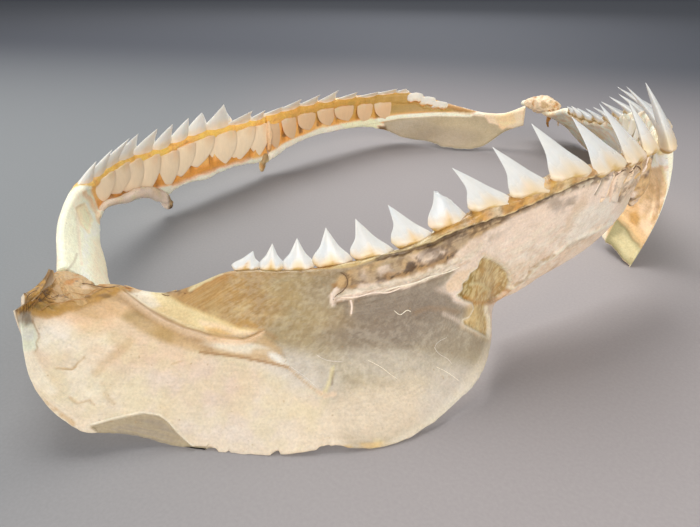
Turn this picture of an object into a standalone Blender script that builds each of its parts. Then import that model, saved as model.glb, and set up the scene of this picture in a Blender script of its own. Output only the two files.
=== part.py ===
"""The dried jaw of a large mackerel shark, lying on a table with its teeth up.

Run with:  blender --background --python part.py

The ring of the jaw is made of four halves, each a curved plate of cartilage
with its teeth, held together by four pads of dried ligament. While the jaw is
being shaped, +X points from the middle of the ring to the front of the lower
jaw, +Y to the animal's left and +Z to where the teeth point. At the end it is
centred on the origin, with what it rests on at height zero.

All sizes below are in millimetres, and the mesh is in metres.
"""
import bisect
import math

import bmesh
import bpy
from mathutils import Vector

MM = 0.001

# The grid that each half's plate is shaped from: faces along it and down it.
FACES_ALONG = 30
FACES_DOWN = 6
THICKEST = 9.0          # a full vertex weight makes a plate this thick
PLAN_STEPS = 240        # points on a half's smooth plan line
GAP = 0.35              # left between touching pieces

# Where each half's margin runs, seen from above: x and distance from the
# midline, from its front end to its joint.
LOWER_RIGHT_PLAN = [(119.5, 4.5), (109.5, 50), (79.5, 100), (50.9, 131), (11.0, 165), (-20.0, 187.5)]
LOWER_LEFT_PLAN = [(123.5, 5.0), (111.0, 50), (81.5, 100), (55.5, 131), (31.0, 153), (9.0, 170)]
UPPER_RIGHT_PLAN = [(-112, 3.5), (-110.5, 50), (-100, 99), (-74.5, 140), (-50, 161.5), (-26, 177.5)]
UPPER_LEFT_PLAN = [(-112, 3.5), (-109, 55), (-95.5, 108), (-68, 139), (-34, 149), (-4.5, 161)]

# Sections across a half, from its front end to its joint. The margin is where
# the teeth stand; the edge is the plate's free lower border.
#   margin: distance along it, height
#   edge:   distance along the margin where it lies, how far out, height
#   belly:  how far the plate's middle stands out; drift: how far it runs on
#   thick:  at the margin, at the edge
LOWER_FRONT = [
    # margin     edge                belly drift  thick
    (0.0, 65.6, 1.0, -4.5, 34.0, 0.5, 0.5, 8.0, 4.5),
    (21.5, 64.0, 17.5, -6.5, 25.5, 2.0, 0.0, 8.5, 4.0),
    (40.0, 64.8, 35.0, -7.5, 21.5, 2.5, 0.0, 8.5, 3.5),
    (58.0, 65.0, 52.5, -7.5, 18.5, 2.5, 0.0, 8.0, 3.0),
    (72.0, 60.8, 68.0, -5.0, 15.5, 2.0, 0.0, 7.0, 2.6),
    (84.0, 58.4, 79.5, -2.0, 13.5, 1.5, 0.0, 6.5, 2.4),
]
LOWER_FAN = [
    (90.5, 57.2, 88.5, 12.5, 8.0, -1.0, 0.0, 6.0, 2.0),
    (103.5, 52.4, 106.5, 29.8, 4.0, -2.0, 0.0, 6.0, 2.0),
    (119.0, 46.0, 128.0, 41.8, 0.3, -2.0, 0.0, 5.5, 2.0),
    (138.0, 42.0, 146.0, 43.0, 0.3, -1.0, 0.0, 5.5, 2.0),
    (154.5, 40.0, 163.0, 42.9, 0.3, 0.0, 0.0, 5.5, 2.0),
    (176.0, 40.0, 187.5, 38.7, 3.0, 2.0, 0.0, 5.0, 2.0),
    (197.0, 32.5, 203.0, 38.5, 5.0, 4.0, 0.0, 4.5, 2.0),
    (214.0, 34.5, 216.0, 39.6, 8.0, 5.0, 0.0, 5.0, 2.2),
    (227.0, 34.0, 230.0, 37.6, 20.0, 6.0, 0.0, 6.0, 2.6),
    (238.0, 35.0, 238.0, 22.5, 30.0, 3.0, 0.0, 6.0, 3.6),
]
# The left half's front border drops to the table in a point.
LOWER_LEFT_FRONT = [
    (0.0, 65.6, 12.5, -1.0, -0.8, 5.5, 15.0, 8.0, 2.6),
    (21.5, 64.0, 20.0, -7.5, 3.0, 4.0, 8.0, 8.5, 2.4),
    (40.0, 64.8, 33.0, -8.5, 11.0, 3.0, 2.0, 8.5, 2.6),
    (58.0, 65.0, 52.5, -8.0, 17.0, 2.5, 0.0, 8.0, 2.8),
    (72.0, 60.8, 68.0, -5.0, 15.5, 2.0, 0.0, 7.0, 2.6),
    (84.0, 58.4, 79.5, -2.0, 13.5, 1.5, 0.0, 6.5, 2.4),
]
UPPER_RIGHT = [
    (0.0, 39.0, 1.0, 0.0, 6.5, 1.0, 0.0, 7.0, 4.0),
    (13.0, 39.3, 13.0, 0.0, 7.5, 1.0, 0.0, 7.0, 4.0),
    (36.0, 40.4, 35.5, 0.0, 11.0, 1.0, 0.0, 7.0, 4.0),
    (52.5, 41.0, 53.5, 0.0, 12.0, 1.5, 0.0, 7.0, 4.0),
    (67.0, 40.2, 67.0, 2.0, 11.0, 1.5, 0.0, 7.0, 4.0),
    (76.5, 39.7, 76.0, 10.5, -1.2, 0.0, 0.0, 7.0, 4.5),
    (86.0, 39.9, 86.0, 4.0, 5.5, 1.0, 0.0, 7.0, 4.0),
    (100.0, 41.6, 99.0, 0.0, 14.0, 1.5, 0.0, 7.0, 4.0),
    (120.0, 43.6, 117.0, 0.0, 20.0, 2.0, 0.0, 6.5, 4.0),
    (139.0, 42.6, 138.0, 0.0, 23.6, 2.0, 0.0, 6.0, 4.0),
    (156.0, 43.6, 152.0, -1.0, 17.0, 3.0, 0.0, 5.0, 3.2),
    (176.0, 43.0, 172.0, -7.0, 14.0, 4.0, 0.0, 3.6, 2.8),
    (190.0, 41.5, 187.0, -10.5, 14.5, 4.0, 0.0, 3.6, 2.8),
    (201.0, 39.5, 200.0, -13.5, 15.0, 4.0, 0.0, 3.8, 2.8),
    (212.0, 37.0, 211.0, -15.0, 19.0, 3.0, 0.0, 4.5, 3.4),
]
UPPER_LEFT = [
    (0.0, 40.0, 1.0, 0.0, 7.0, 1.0, 0.0, 7.0, 4.0),
    (26.0, 40.5, 26.0, 0.0, 9.0, 1.0, 0.0, 7.0, 4.0),
    (51.0, 40.0, 51.0, 0.0, 10.3, 1.0, 0.0, 7.0, 3.6),
    (76.0, 39.3, 75.0, 0.0, 10.5, 1.0, 0.0, 7.0, 3.2),
    (98.0, 38.2, 97.0, 0.0, 13.0, 1.0, 0.0, 6.5, 2.8),
    (112.0, 38.8, 110.0, -1.0, 10.5, 1.0, 0.0, 6.5, 2.4),
    (126.0, 38.8, 121.0, -10.0, 3.0, 2.0, 0.0, 6.0, 2.2),
    (142.0, 34.8, 140.0, -26.0, 0.3, 5.0, 0.0, 5.5, 2.2),
    (158.0, 30.8, 160.0, -36.0, 0.3, 6.0, 0.0, 5.0, 2.2),
    (174.0, 28.3, 176.0, -37.0, 0.3, 6.0, 0.0, 4.5, 2.2),
    (190.0, 26.2, 190.0, -30.0, 0.3, 5.0, 0.0, 4.5, 2.4),
    (206.0, 26.6, 206.0, -14.0, 6.0, 3.0, 0.0, 5.0, 3.0),
    (220.0, 33.0, 220.0, -3.0, 19.0, 1.0, 0.0, 6.0, 4.0),
]

# Teeth, from the front: distance along the margin, width, height of the tip
# above the margin, how far the tip leans to the joint, how far inwards.
LOWER_TEETH = [
    (2.5, 11.0, 15.5, 1.5, 12.5),
    (15.0, 15.5, 16.5, 2.5, 17.5),
    (34.4, 20.0, 14.2, 4.0, 17.0),
    (55.5, 17.8, 13.6, 7.4, 15.5),
    (71.5, 17.0, 12.0, 9.6, 12.5),
    (87.2, 16.6, 10.2, 10.9, 9.5),
    (102.4, 14.0, 10.3, 3.5, 6.0),
    (114.5, 14.8, 10.1, 7.4, 7.0),
    (128.7, 14.2, 10.3, 5.2, 5.0),
    (142.2, 12.9, 10.5, 1.9, 3.5),
    (153.8, 10.7, 8.7, 0.0, 2.5),
    (162.8, 8.2, 7.0, -0.7, 2.0),
    (171.2, 9.0, 4.3, -2.6, 1.5),
]
# The left half's front teeth lie further in.
LOWER_LEFT_TEETH = [
    (3.0, 13.0, 20.0, 1.5, 13.0),
    (19.0, 15.5, 17.0, 3.0, 20.5),
    (37.5, 18.0, 13.0, 4.0, 23.0),
    (56.5, 17.0, 10.5, 6.0, 21.0),
    (71.5, 17.0, 11.5, 8.0, 15.0),
] + LOWER_TEETH[5:]
UPPER_RIGHT_TEETH = [
    (4.0, 13.0, 6.2, 0.5, 10.5),
    (19.0, 15.5, 8.8, 0.5, 13.5),
    (36.0, 16.5, 14.4, 2.0, 12.0),
    (53.0, 15.5, 12.5, 3.5, 11.5),
    (67.0, 13.5, 11.0, 4.0, 10.5),
    (81.0, 15.0, 10.3, 4.0, 11.0),
    (95.5, 15.5, 10.5, 4.0, 11.0),
    (110.0, 14.0, 8.5, 4.0, 10.5),
    (123.0, 12.5, 8.0, 3.0, 10.0),
    (134.5, 11.0, 6.0, 3.0, 8.5),
    (144.0, 9.0, 4.5, 2.0, 7.5),
]
UPPER_LEFT_TEETH = [
    (4.0, 13.0, 6.2, 0.5, 10.5),
    (19.0, 16.0, 8.8, 0.5, 13.0),
    (37.0, 17.0, 8.0, 2.0, 12.5),
    (55.0, 16.5, 8.6, 2.5, 13.0),
    (74.0, 17.5, 5.6, 3.5, 11.0),
    (94.0, 17.0, 4.8, 4.0, 10.0),
    (111.0, 14.5, 5.4, 3.5, 10.0),
    (125.0, 12.0, 4.0, 3.0, 8.5),
    (137.0, 10.0, 3.2, 2.0, 7.5),
    (147.0, 9.0, 2.4, 1.0, 6.5),
]
TOOTH_SIDES = 6
TOOTH_CUTS = (0.25, 0.55, 0.80)     # heights of the rings between root and tip
ROOT_DEPTH = 4.0                    # how far a root sinks in its plate
ROOT_THICKNESS = 5.0

# The next teeth lie on the inner wall with their tips down: where their roots
# and tips come on the plate from margin (0) to edge (1), and their size
# against the tooth that they will replace.
NEXT_ROOT_DOWN = 0.16
NEXT_TIP_DOWN = 0.62
NEXT_WIDTH = 0.86
NEXT_CUTS = (0.25, 0.65)
NEXT_THICKNESS = 3.0
LOWER_NEXT_TEETH = 9
UPPER_NEXT_TEETH = 9

# Ligament pads: centre, and half their length, width and height.
LOWER_FRONT_PAD = ((115.5, 0.0, 48.0), (3.6, 6.0, 11.5))
UPPER_FRONT_PAD = ((-114.5, 0.0, 20.0), (3.4, 5.0, 12.0))
RIGHT_JOINT_PAD = ((-22.0, -184.0, 27.5), (10.0, 7.5, 7.0))
PAD_SIDES = 10
PAD_RINGS = 7
LEFT_JOINT_PAD = ((8.0, 169.0, 34.0), (12.0, 9.0, 8.0))

CARTILAGE_COLOUR = (0.80, 0.70, 0.54, 1.0)
LIGAMENT_COLOUR = (0.42, 0.27, 0.12, 1.0)


def clear_scene():
    for item in list(bpy.data.objects):
        bpy.data.objects.remove(item, do_unlink=True)


def new_collection(name):
    collection = bpy.data.collections.new(name)
    bpy.context.scene.collection.children.link(collection)
    return collection


def make_material(name, colour, roughness):
    material = bpy.data.materials.new(name)
    material.use_nodes = True
    shader = material.node_tree.nodes["Principled BSDF"]
    shader.inputs["Base Color"].default_value = colour
    shader.inputs["Roughness"].default_value = roughness
    shader.inputs["Metallic"].default_value = 0.0
    return material


def smooth_row(rows, place):
    """The rows' values at place, from 0 at the first row to 1 at the last."""
    spot = min(max(place, 0.0), 1.0) * (len(rows) - 1)
    index = min(int(spot), len(rows) - 2)
    part = spot - index
    before = rows[max(index - 1, 0)]
    start, end = rows[index], rows[index + 1]
    after = rows[min(index + 2, len(rows) - 1)]
    values = []
    for a, b, c, d in zip(before, start, end, after):
        slope_in, slope_out = (c - a) / 2, (d - b) / 2
        bend = 3 * (c - b) - 2 * slope_in - slope_out
        twist = 2 * (b - c) + slope_in + slope_out
        values.append(b + part * (slope_in + part * (bend + part * twist)))
    return values


class Margin:
    """A half's smooth plan line, walked by distance from its front end."""

    def __init__(self, plan, side):
        line = [smooth_row(plan, step / PLAN_STEPS) for step in range(PLAN_STEPS + 1)]
        self.points = [Vector((x, side * y)) for x, y in line]
        self.lengths = [0.0]
        for first, second in zip(self.points, self.points[1:]):
            self.lengths.append(self.lengths[-1] + (second - first).length)

    def at(self, distance):
        """The point, the direction to the joint and the outward direction."""
        index = bisect.bisect_right(self.lengths, distance) - 1
        index = min(max(index, 0), PLAN_STEPS - 1)
        run = self.points[index + 1] - self.points[index]
        along = run.normalized()
        point = self.points[index] + along * (distance - self.lengths[index])
        outward = Vector((along.y, -along.x))
        if outward.dot(point) < 0:
            outward = -outward
        return point, along, outward


def plate_point(margin, section, down):
    """A point on the middle of the plate: down is 0 at the margin, 1 at the edge."""
    margin_run, margin_height, edge_run, edge_out, edge_height, belly, drift = section[:7]
    top, _, _ = margin.at(margin_run)
    foot, along, outward = margin.at(edge_run)
    edge = foot + outward * edge_out
    swell = 4 * down * (1 - down)
    flat = top.lerp(edge, down) + (outward * belly + along * drift) * swell
    height = margin_height + (edge_height - margin_height) * down
    return Vector((flat.x, flat.y, height)) * MM


def wall_thickness(section, down):
    thick_margin, thick_edge = section[7:]
    return thick_margin + (thick_edge - thick_margin) * math.sqrt(down)


def make_plate(name, half):
    """One half's plate of cartilage: a grid bent to its sections, then given a wall."""
    mesh = bpy.data.meshes.new(name)
    grid = bmesh.new()
    bmesh.ops.create_grid(grid, x_segments=FACES_ALONG, y_segments=FACES_DOWN, size=0.5)
    weights = grid.verts.layers.deform.verify()
    for vert in grid.verts:
        section = smooth_row(half.sections, vert.co.x + 0.5)
        down = 0.5 - vert.co.y
        vert.co = plate_point(half.margin, section, down)
        vert[weights][0] = wall_thickness(section, down) / THICKEST
    grid.faces.ensure_lookup_table()
    grid.normal_update()
    middle = grid.faces[len(grid.faces) // 2]
    if middle.normal.dot(middle.calc_center_median() * half.outside) < 0:
        bmesh.ops.reverse_faces(grid, faces=grid.faces)
    grid.to_mesh(mesh)
    grid.free()
    plate = bpy.data.objects.new(name, mesh)
    plate.vertex_groups.new(name="thickness")
    wall = plate.modifiers.new("wall", "SOLIDIFY")
    wall.thickness = THICKEST * MM
    wall.offset = -1.0
    wall.vertex_group = "thickness"
    return plate


def tooth_width(rise, slant):
    """Width of a crown over its base, from the gum (0) to the tip (1). A slanting
    crown stays broad for longer and then runs out to its tip."""
    return 1 - rise ** (1.4 + 0.8 * slant)


def make_tooth(base, axes, width, height, leans, root, thickness, cuts):
    """A tooth from a cone: cut into rings, then flattened and leaned ring by ring."""
    along, inward, up = axes
    lean_along, lean_in = leans
    tooth = bmesh.new()
    bmesh.ops.create_cone(
        tooth, cap_ends=True, segments=TOOTH_SIDES, radius1=0.5, radius2=0.0, depth=1.0
    )
    for cut in cuts:
        bmesh.ops.bisect_plane(
            tooth,
            geom=tooth.verts[:] + tooth.edges[:] + tooth.faces[:],
            plane_co=(0, 0, cut - 0.5),
            plane_no=(0, 0, 1),
        )
    slant = min(abs(lean_along) / height, 1.2)
    for vert in tooth.verts:
        level = (vert.co.z + 0.5) * (height + root) - root
        rise = min(max(level / height, 0.0), 1.0)
        turn = math.atan2(vert.co.y, vert.co.x)
        wide = tooth_width(rise, slant) * width / 2
        deep = (1 - rise) ** 0.8 * thickness / 2
        vert.co = base + MM * (
            along * (math.cos(turn) * wide + lean_along * rise ** (1.3 + 0.9 * slant))
            + inward * (math.sin(turn) * deep + lean_in * rise ** 1.2)
            + up * level
        )
    bmesh.ops.recalc_face_normals(tooth, faces=tooth.faces)
    return tooth


def section_at(sections, run):
    """The section whose margin lies at a distance from the front end."""
    low, high = 0.0, 1.0
    for _ in range(24):
        middle = (low + high) / 2
        if smooth_row(sections, middle)[0] < run:
            low = middle
        else:
            high = middle
    return smooth_row(sections, low)


def make_standing_tooth(half, size):
    run, width, height, lean_along, lean_in = size
    point, along, outward = half.margin.at(run)
    level = section_at(half.sections, run)[1]
    inward = -outward.to_3d()
    base = (Vector((point.x, point.y, level)) + inward * half.seat) * MM
    axes = (along.to_3d(), inward, Vector((0, 0, 1)))
    leans = (lean_along, lean_in)
    return make_tooth(base, axes, width, height, leans, ROOT_DEPTH, ROOT_THICKNESS, TOOTH_CUTS)


def make_next_tooth(half, size):
    """The tooth behind, flat on the inner wall, half sunk in it."""
    run, width, _, lean_along, _ = size
    section = section_at(half.sections, run)
    _, along, outward = half.margin.at(run)
    inward = -outward.to_3d()
    ends = []
    for down in (NEXT_ROOT_DOWN, NEXT_TIP_DOWN):
        depth = wall_thickness(section, down) if half.outside > 0 else 0.0
        ends.append(plate_point(half.margin, section, down) + inward * depth * MM)
    root, tip = ends
    fall = tip - root
    axes = (along.to_3d(), inward, fall.normalized())
    length = fall.length / MM
    leans = (lean_along * 0.4, 1.0)
    return make_tooth(root, axes, width * NEXT_WIDTH, length, leans, 0.5, NEXT_THICKNESS, NEXT_CUTS)


def evaluated_copy(item, name):
    """A plain object holding what the item's modifiers make."""
    bpy.context.view_layer.update()
    graph = bpy.context.evaluated_depsgraph_get()
    mesh = bpy.data.meshes.new_from_object(item.evaluated_get(graph))
    mesh.name = name
    return bpy.data.objects.new(name, mesh)


def add_boolean(item, tool, operation):
    modifier = item.modifiers.new(tool.name, "BOOLEAN")
    modifier.operation = operation
    modifier.solver = "EXACT"
    modifier.object = tool
    return modifier


def add_tool(mesh_source, name, tools):
    """An object made from a bmesh, kept with the cutters and out of the renders."""
    mesh = bpy.data.meshes.new(name)
    mesh_source.to_mesh(mesh)
    mesh_source.free()
    tool = bpy.data.objects.new(name, mesh)
    tools.objects.link(tool)
    tool.hide_render = True
    tool.display_type = "WIRE"
    return tool


def make_floor_cutter(tools):
    """A block whose top is the table: it leaves small flats where the jaw rests."""
    block = bmesh.new()
    bmesh.ops.create_cube(block, size=1.0)
    bmesh.ops.translate(block, verts=block.verts, vec=(0, 0, -0.5))
    return add_tool(block, "floor", tools)


class Half:
    """What a half is made from. outside is 1 where its sections lie on the outer
    face and the wall goes inwards from it, and -1 where they lie on the inner
    face; seat is how far inwards of the sections the teeth stand."""

    def __init__(self, plan, side, sections, teeth, next_count, outside, seat):
        self.margin = Margin(plan, side)
        self.sections = sections
        self.teeth = teeth
        self.next_count = next_count
        self.outside = outside
        self.seat = seat


def make_half(name, half, material, parts, tools, floor):
    plate = make_plate(name, half)
    parts.objects.link(plate)
    plate.data.materials.append(material)
    for number, size in enumerate(half.teeth):
        tool = add_tool(make_standing_tooth(half, size), f"{name}_tooth_{number:02d}", tools)
        add_boolean(plate, tool, "UNION")
    for number, size in enumerate(half.teeth[:half.next_count]):
        tool = add_tool(make_next_tooth(half, size), f"{name}_next_{number:02d}", tools)
        add_boolean(plate, tool, "UNION")
    add_boolean(plate, floor, "DIFFERENCE")
    return plate


def make_clearance(name, half, tools):
    """A slightly thicker copy of a half's plate, which keeps a pad off it."""
    plate = make_plate(name + "_clearance", half)
    tools.objects.link(plate)
    plate.hide_render = True
    plate.display_type = "WIRE"
    grow = plate.modifiers.new("grow", "DISPLACE")
    grow.strength = GAP * MM
    grow.mid_level = 0.0
    return plate


def make_pad(name, place, material, parts, near):
    """A pad of dried ligament, cut back where its two halves come into it."""
    centre, radii = place
    pad = bmesh.new()
    bmesh.ops.create_uvsphere(pad, u_segments=PAD_SIDES, v_segments=PAD_RINGS, radius=1.0)
    for vert in pad.verts:
        ripple = 1.0 + 0.10 * math.sin(5 * vert.co.x + 3 * vert.co.z) * math.cos(4 * vert.co.y)
        vert.co = Vector(c + r * v * ripple for c, r, v in zip(centre, radii, vert.co)) * MM
    mesh = bpy.data.meshes.new(name)
    pad.to_mesh(mesh)
    pad.free()
    item = bpy.data.objects.new(name, mesh)
    item.data.materials.append(material)
    parts.objects.link(item)
    for half in near:
        add_boolean(item, half, "DIFFERENCE")
    return item


def settle(parts):
    """Apply every modifier, then centre the jaw on the origin."""
    finished = []
    for item in list(parts.objects):
        copy = evaluated_copy(item, item.name)
        finished.append((item, copy.data))
        bpy.data.objects.remove(copy)
    for item, mesh in finished:
        item.modifiers.clear()
        item.data = mesh
    corners = [vert.co for item in parts.objects for vert in item.data.vertices]
    middle = Vector((
        (min(c.x for c in corners) + max(c.x for c in corners)) / 2,
        (min(c.y for c in corners) + max(c.y for c in corners)) / 2,
        min(c.z for c in corners),
    ))
    for item in parts.objects:
        for vert in item.data.vertices:
            vert.co -= middle
        item.data.update()
    print("centre of the ring before it was moved:", tuple(round(v, 6) for v in middle))


def main():
    clear_scene()
    parts = new_collection("shark_jaw")
    tools = new_collection("cutters")
    cartilage = make_material("cartilage", CARTILAGE_COLOUR, 0.5)
    ligament = make_material("ligament", LIGAMENT_COLOUR, 0.7)
    floor = make_floor_cutter(tools)
    halves = {
        "lower_jaw_right": Half(
            LOWER_RIGHT_PLAN, -1, LOWER_FRONT + LOWER_FAN, LOWER_TEETH, LOWER_NEXT_TEETH, 1, 2.2
        ),
        "lower_jaw_left": Half(
            LOWER_LEFT_PLAN, 1, LOWER_LEFT_FRONT + LOWER_FAN, LOWER_LEFT_TEETH, LOWER_NEXT_TEETH, 1, 2.2
        ),
        "upper_jaw_right": Half(
            UPPER_RIGHT_PLAN, -1, UPPER_RIGHT, UPPER_RIGHT_TEETH, UPPER_NEXT_TEETH, -1, -3.5
        ),
        "upper_jaw_left": Half(
            UPPER_LEFT_PLAN, 1, UPPER_LEFT, UPPER_LEFT_TEETH, UPPER_NEXT_TEETH, -1, -3.5
        ),
    }
    clearances = {}
    for name, half in halves.items():
        make_half(name, half, cartilage, parts, tools, floor)
        clearances[name] = make_clearance(name, half, tools)
    pads = {
        "lower_symphysis": (LOWER_FRONT_PAD, ("lower_jaw_right", "lower_jaw_left")),
        "upper_symphysis": (UPPER_FRONT_PAD, ("upper_jaw_right", "upper_jaw_left")),
        "joint_right": (RIGHT_JOINT_PAD, ("lower_jaw_right", "upper_jaw_right")),
        "joint_left": (LEFT_JOINT_PAD, ("lower_jaw_left", "upper_jaw_left")),
    }
    for name, (place, near) in pads.items():
        make_pad(name, place, ligament, parts, [clearances[half] for half in near])
    settle(parts)


main()
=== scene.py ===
# Looks of the dried shark jaw: plates, teeth, gum and ligament, built around the fixed frame.
import math

import bpy
import numpy as np
from mathutils import Matrix, Vector


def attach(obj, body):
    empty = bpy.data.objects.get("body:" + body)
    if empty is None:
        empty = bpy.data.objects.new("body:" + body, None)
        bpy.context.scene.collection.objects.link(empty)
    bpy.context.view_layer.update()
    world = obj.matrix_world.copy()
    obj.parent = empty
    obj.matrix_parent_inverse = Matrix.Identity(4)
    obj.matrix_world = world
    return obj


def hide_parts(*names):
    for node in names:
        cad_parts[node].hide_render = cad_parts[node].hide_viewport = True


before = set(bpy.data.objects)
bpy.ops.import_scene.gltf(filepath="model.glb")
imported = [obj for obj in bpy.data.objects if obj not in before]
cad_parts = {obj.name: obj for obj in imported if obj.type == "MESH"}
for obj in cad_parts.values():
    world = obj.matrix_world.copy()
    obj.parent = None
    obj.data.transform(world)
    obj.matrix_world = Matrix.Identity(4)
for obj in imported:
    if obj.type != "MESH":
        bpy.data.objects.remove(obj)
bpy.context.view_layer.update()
mm = 0.001
tableGap = 0.05     # mm

# The photo's view: where it stands in the jaw's own frame and what its lens takes in.
view = dict(
    size=(700, 527),            # pixels
    focal=540.0,                # pixels
    place=(157.6, -245.5, 128.0),
    turn=39.0,                  # degrees left of +Y
    tilt=29.0,                  # degrees down
    sensor=36.0,
    clip=(0.01, 50),            # metres
)
ringCentre = np.array([2.202, 0.323, 0.0])      # the solids were moved by this, in mm


def viewAxes():
    turn, tilt = math.radians(view["turn"]), math.radians(view["tilt"])
    ahead = np.array([-math.sin(turn) * math.cos(tilt), math.cos(turn) * math.cos(tilt), -math.sin(tilt)])
    right = np.array([math.cos(turn), math.sin(turn), 0.0])
    return ahead, right, np.cross(right, ahead)


def photoSpots(places):
    # where places in mm come in the photo, in pixels
    ahead, right, up = viewAxes()
    rays = places - np.array(view["place"])
    depth = rays @ ahead
    wide, high = view["size"]
    return (
        wide / 2 + view["focal"] * (rays @ right) / depth,
        high / 2 - view["focal"] * (rays @ up) / depth,
    )


# Colours as the eye reads them, 0 to 255.
tints = dict(
    cream=(234, 216, 190), ivory=(244, 232, 208), peach=(236, 208, 176), pink=(230, 202, 178),
    amber=(186, 145, 84), olive=(174, 150, 104), haze=(166, 152, 132), smoke=(146, 130, 112),
    tan=(208, 172, 122), brown=(172, 130, 78), umber=(104, 78, 52), white=(246, 240, 226),
    yellow=(242, 222, 170), straw=(228, 214, 168), gum=(206, 172, 108), orange=(238, 172, 96),
    rust=(196, 132, 54), apricot=(255, 228, 192), drab=(178, 162, 132), sage=(230, 231, 206),
    shade=(120, 92, 62), pit=(70, 50, 32), blush=(244, 222, 202), moss=(166, 138, 78),
    enamel=(221, 221, 217), tooth=(244, 242, 234), root=(230, 208, 172), veil=(224, 214, 200),
    pearlHighlight=(214, 220, 224), gold=(230, 184, 92), honey=(206, 166, 104), sedge=(160, 150, 108),
    chalk=(232, 218, 204), flesh=(244, 204, 160), mustard=(196, 150, 74), petal=(255, 229, 194),
)


def linear(name):
    share = np.array(tints[name]) / 255
    return np.where(share <= 0.04045, share / 12.92, ((share + 0.055) / 1.055) ** 2.4)


def evenly(tint, count):
    # one colour for each corner
    return np.tile(linear(tint), (count, 1))


def tinted(colour, tint, mask):
    return colour + (linear(tint) - colour) * mask[:, None]


def unit(rows, spare=0.0):
    # each row brought to length 1; spare keeps a row of nothing from being divided by nothing
    return rows / (np.linalg.norm(rows, axis=1)[:, None] + spare)


def smooth(value, low=0.0, high=1.0):
    part = np.clip((value - low) / (high - low), 0.0, 1.0)
    return part * part * (3 - 2 * part)


def cloud(places, size, seed, octaves=3):
    # soft lumps from -1 to 1, about size across, the same on every run
    total, weight, whole = np.zeros(len(places)), 1.0, 0.0
    for octave in range(octaves):
        spot = places / (size / 2 ** octave) + 37.3 * octave
        cell = np.floor(spot).astype(np.int64)
        part = spot - cell
        part = part * part * (3 - 2 * part)
        value = np.zeros(len(places))
        for corner in range(8):
            step = np.array([corner & 1, corner >> 1 & 1, corner >> 2 & 1])
            key = (cell + step) * np.array([73856093, 19349663, 83492791])
            key = (key[:, 0] ^ key[:, 1] ^ key[:, 2] ^ (seed * 2654435761)) & 0xffffffff
            key = ((key ^ (key >> 13)) * 1274126177) & 0xffffffff
            share = ((key ^ (key >> 16)) & 0xffff) / 65535
            value += share * np.prod(np.where(step == 1, part, 1 - part), axis=1)
        total += weight * (2 * value - 1)
        whole += weight
        weight *= 0.5
    return total / whole


def flatCloud(x, y, size, seed, octaves=3):
    return cloud(np.column_stack([x, y, np.zeros(len(x))]), size, seed, octaves)


def turned(x, y, slope, long, thin):
    # how far forth and aside on a slope in degrees, as shares of a length and a breadth
    slope = math.radians(slope)
    forth = (x * math.cos(slope) + y * math.sin(slope)) / long
    return forth, (y * math.cos(slope) - x * math.sin(slope)) / thin


def lineDistance(x, y, path):
    best = np.full(len(x), 1e9)
    for (ax, ay), (bx, by) in zip(path, path[1:]):
        dx, dy = bx - ax, by - ay
        part = np.clip(((x - ax) * dx + (y - ay) * dy) / max(dx * dx + dy * dy, 1e-9), 0, 1)
        best = np.minimum(best, np.hypot(x - ax - part * dx, y - ay - part * dy))
    return best


def insideDistance(x, y, outline):
    # how far inside an outline each spot is, less than zero outside
    inside = np.zeros(len(x), bool)
    loop = list(outline) + [outline[0]]
    for (ax, ay), (bx, by) in zip(loop, loop[1:]):
        if ay != by:
            inside ^= ((ay > y) != (by > y)) & (x < (bx - ax) * (y - ay) / (by - ay) + ax)
    distance = lineDistance(x, y, loop)
    return np.where(inside, distance, -distance)


def smoothRows(rows, place):
    # the rows' values at each place from 0 to 1, eased from row to row
    rows = np.array(rows, float)
    last = len(rows) - 1
    spot = np.clip(place, 0, 1) * last
    index = np.minimum(spot.astype(int), last - 1)
    part = (spot - index)[:, None]
    before, start = rows[np.maximum(index - 1, 0)], rows[index]
    end, after = rows[index + 1], rows[np.minimum(index + 2, last)]
    slopeIn, slopeOut = (end - before) / 2, (after - start) / 2
    bend = 3 * (end - start) - 2 * slopeIn - slopeOut
    twist = 2 * (start - end) + slopeIn + slopeOut
    return start + part * (slopeIn + part * (bend + part * twist))


class Margin:
    # a half's plan line, walked by distance in mm from its front end
    def __init__(self, plan, side):
        line = smoothRows(plan, np.linspace(0, 1, 241))
        self.points = line * np.array([1, side])
        steps = np.hypot(*np.diff(self.points, axis=0).T)
        self.lengths = np.concatenate([[0.0], np.cumsum(steps)])
        self.ways = np.gradient(self.points, self.lengths, axis=0)

    def at(self, distance):
        walk = np.clip(distance, 0, self.lengths[-1])
        point, along = (
            np.stack([np.interp(walk, self.lengths, column) for column in rows.T], axis=1)
            for rows in (self.points, self.ways)
        )
        along = unit(along)
        point = point + along * (distance - walk)[:, None]
        outward = np.stack([along[:, 1], -along[:, 0]], axis=1)
        outward *= np.sign(np.sum(outward * point, axis=1))[:, None]
        return point, along, outward


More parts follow.
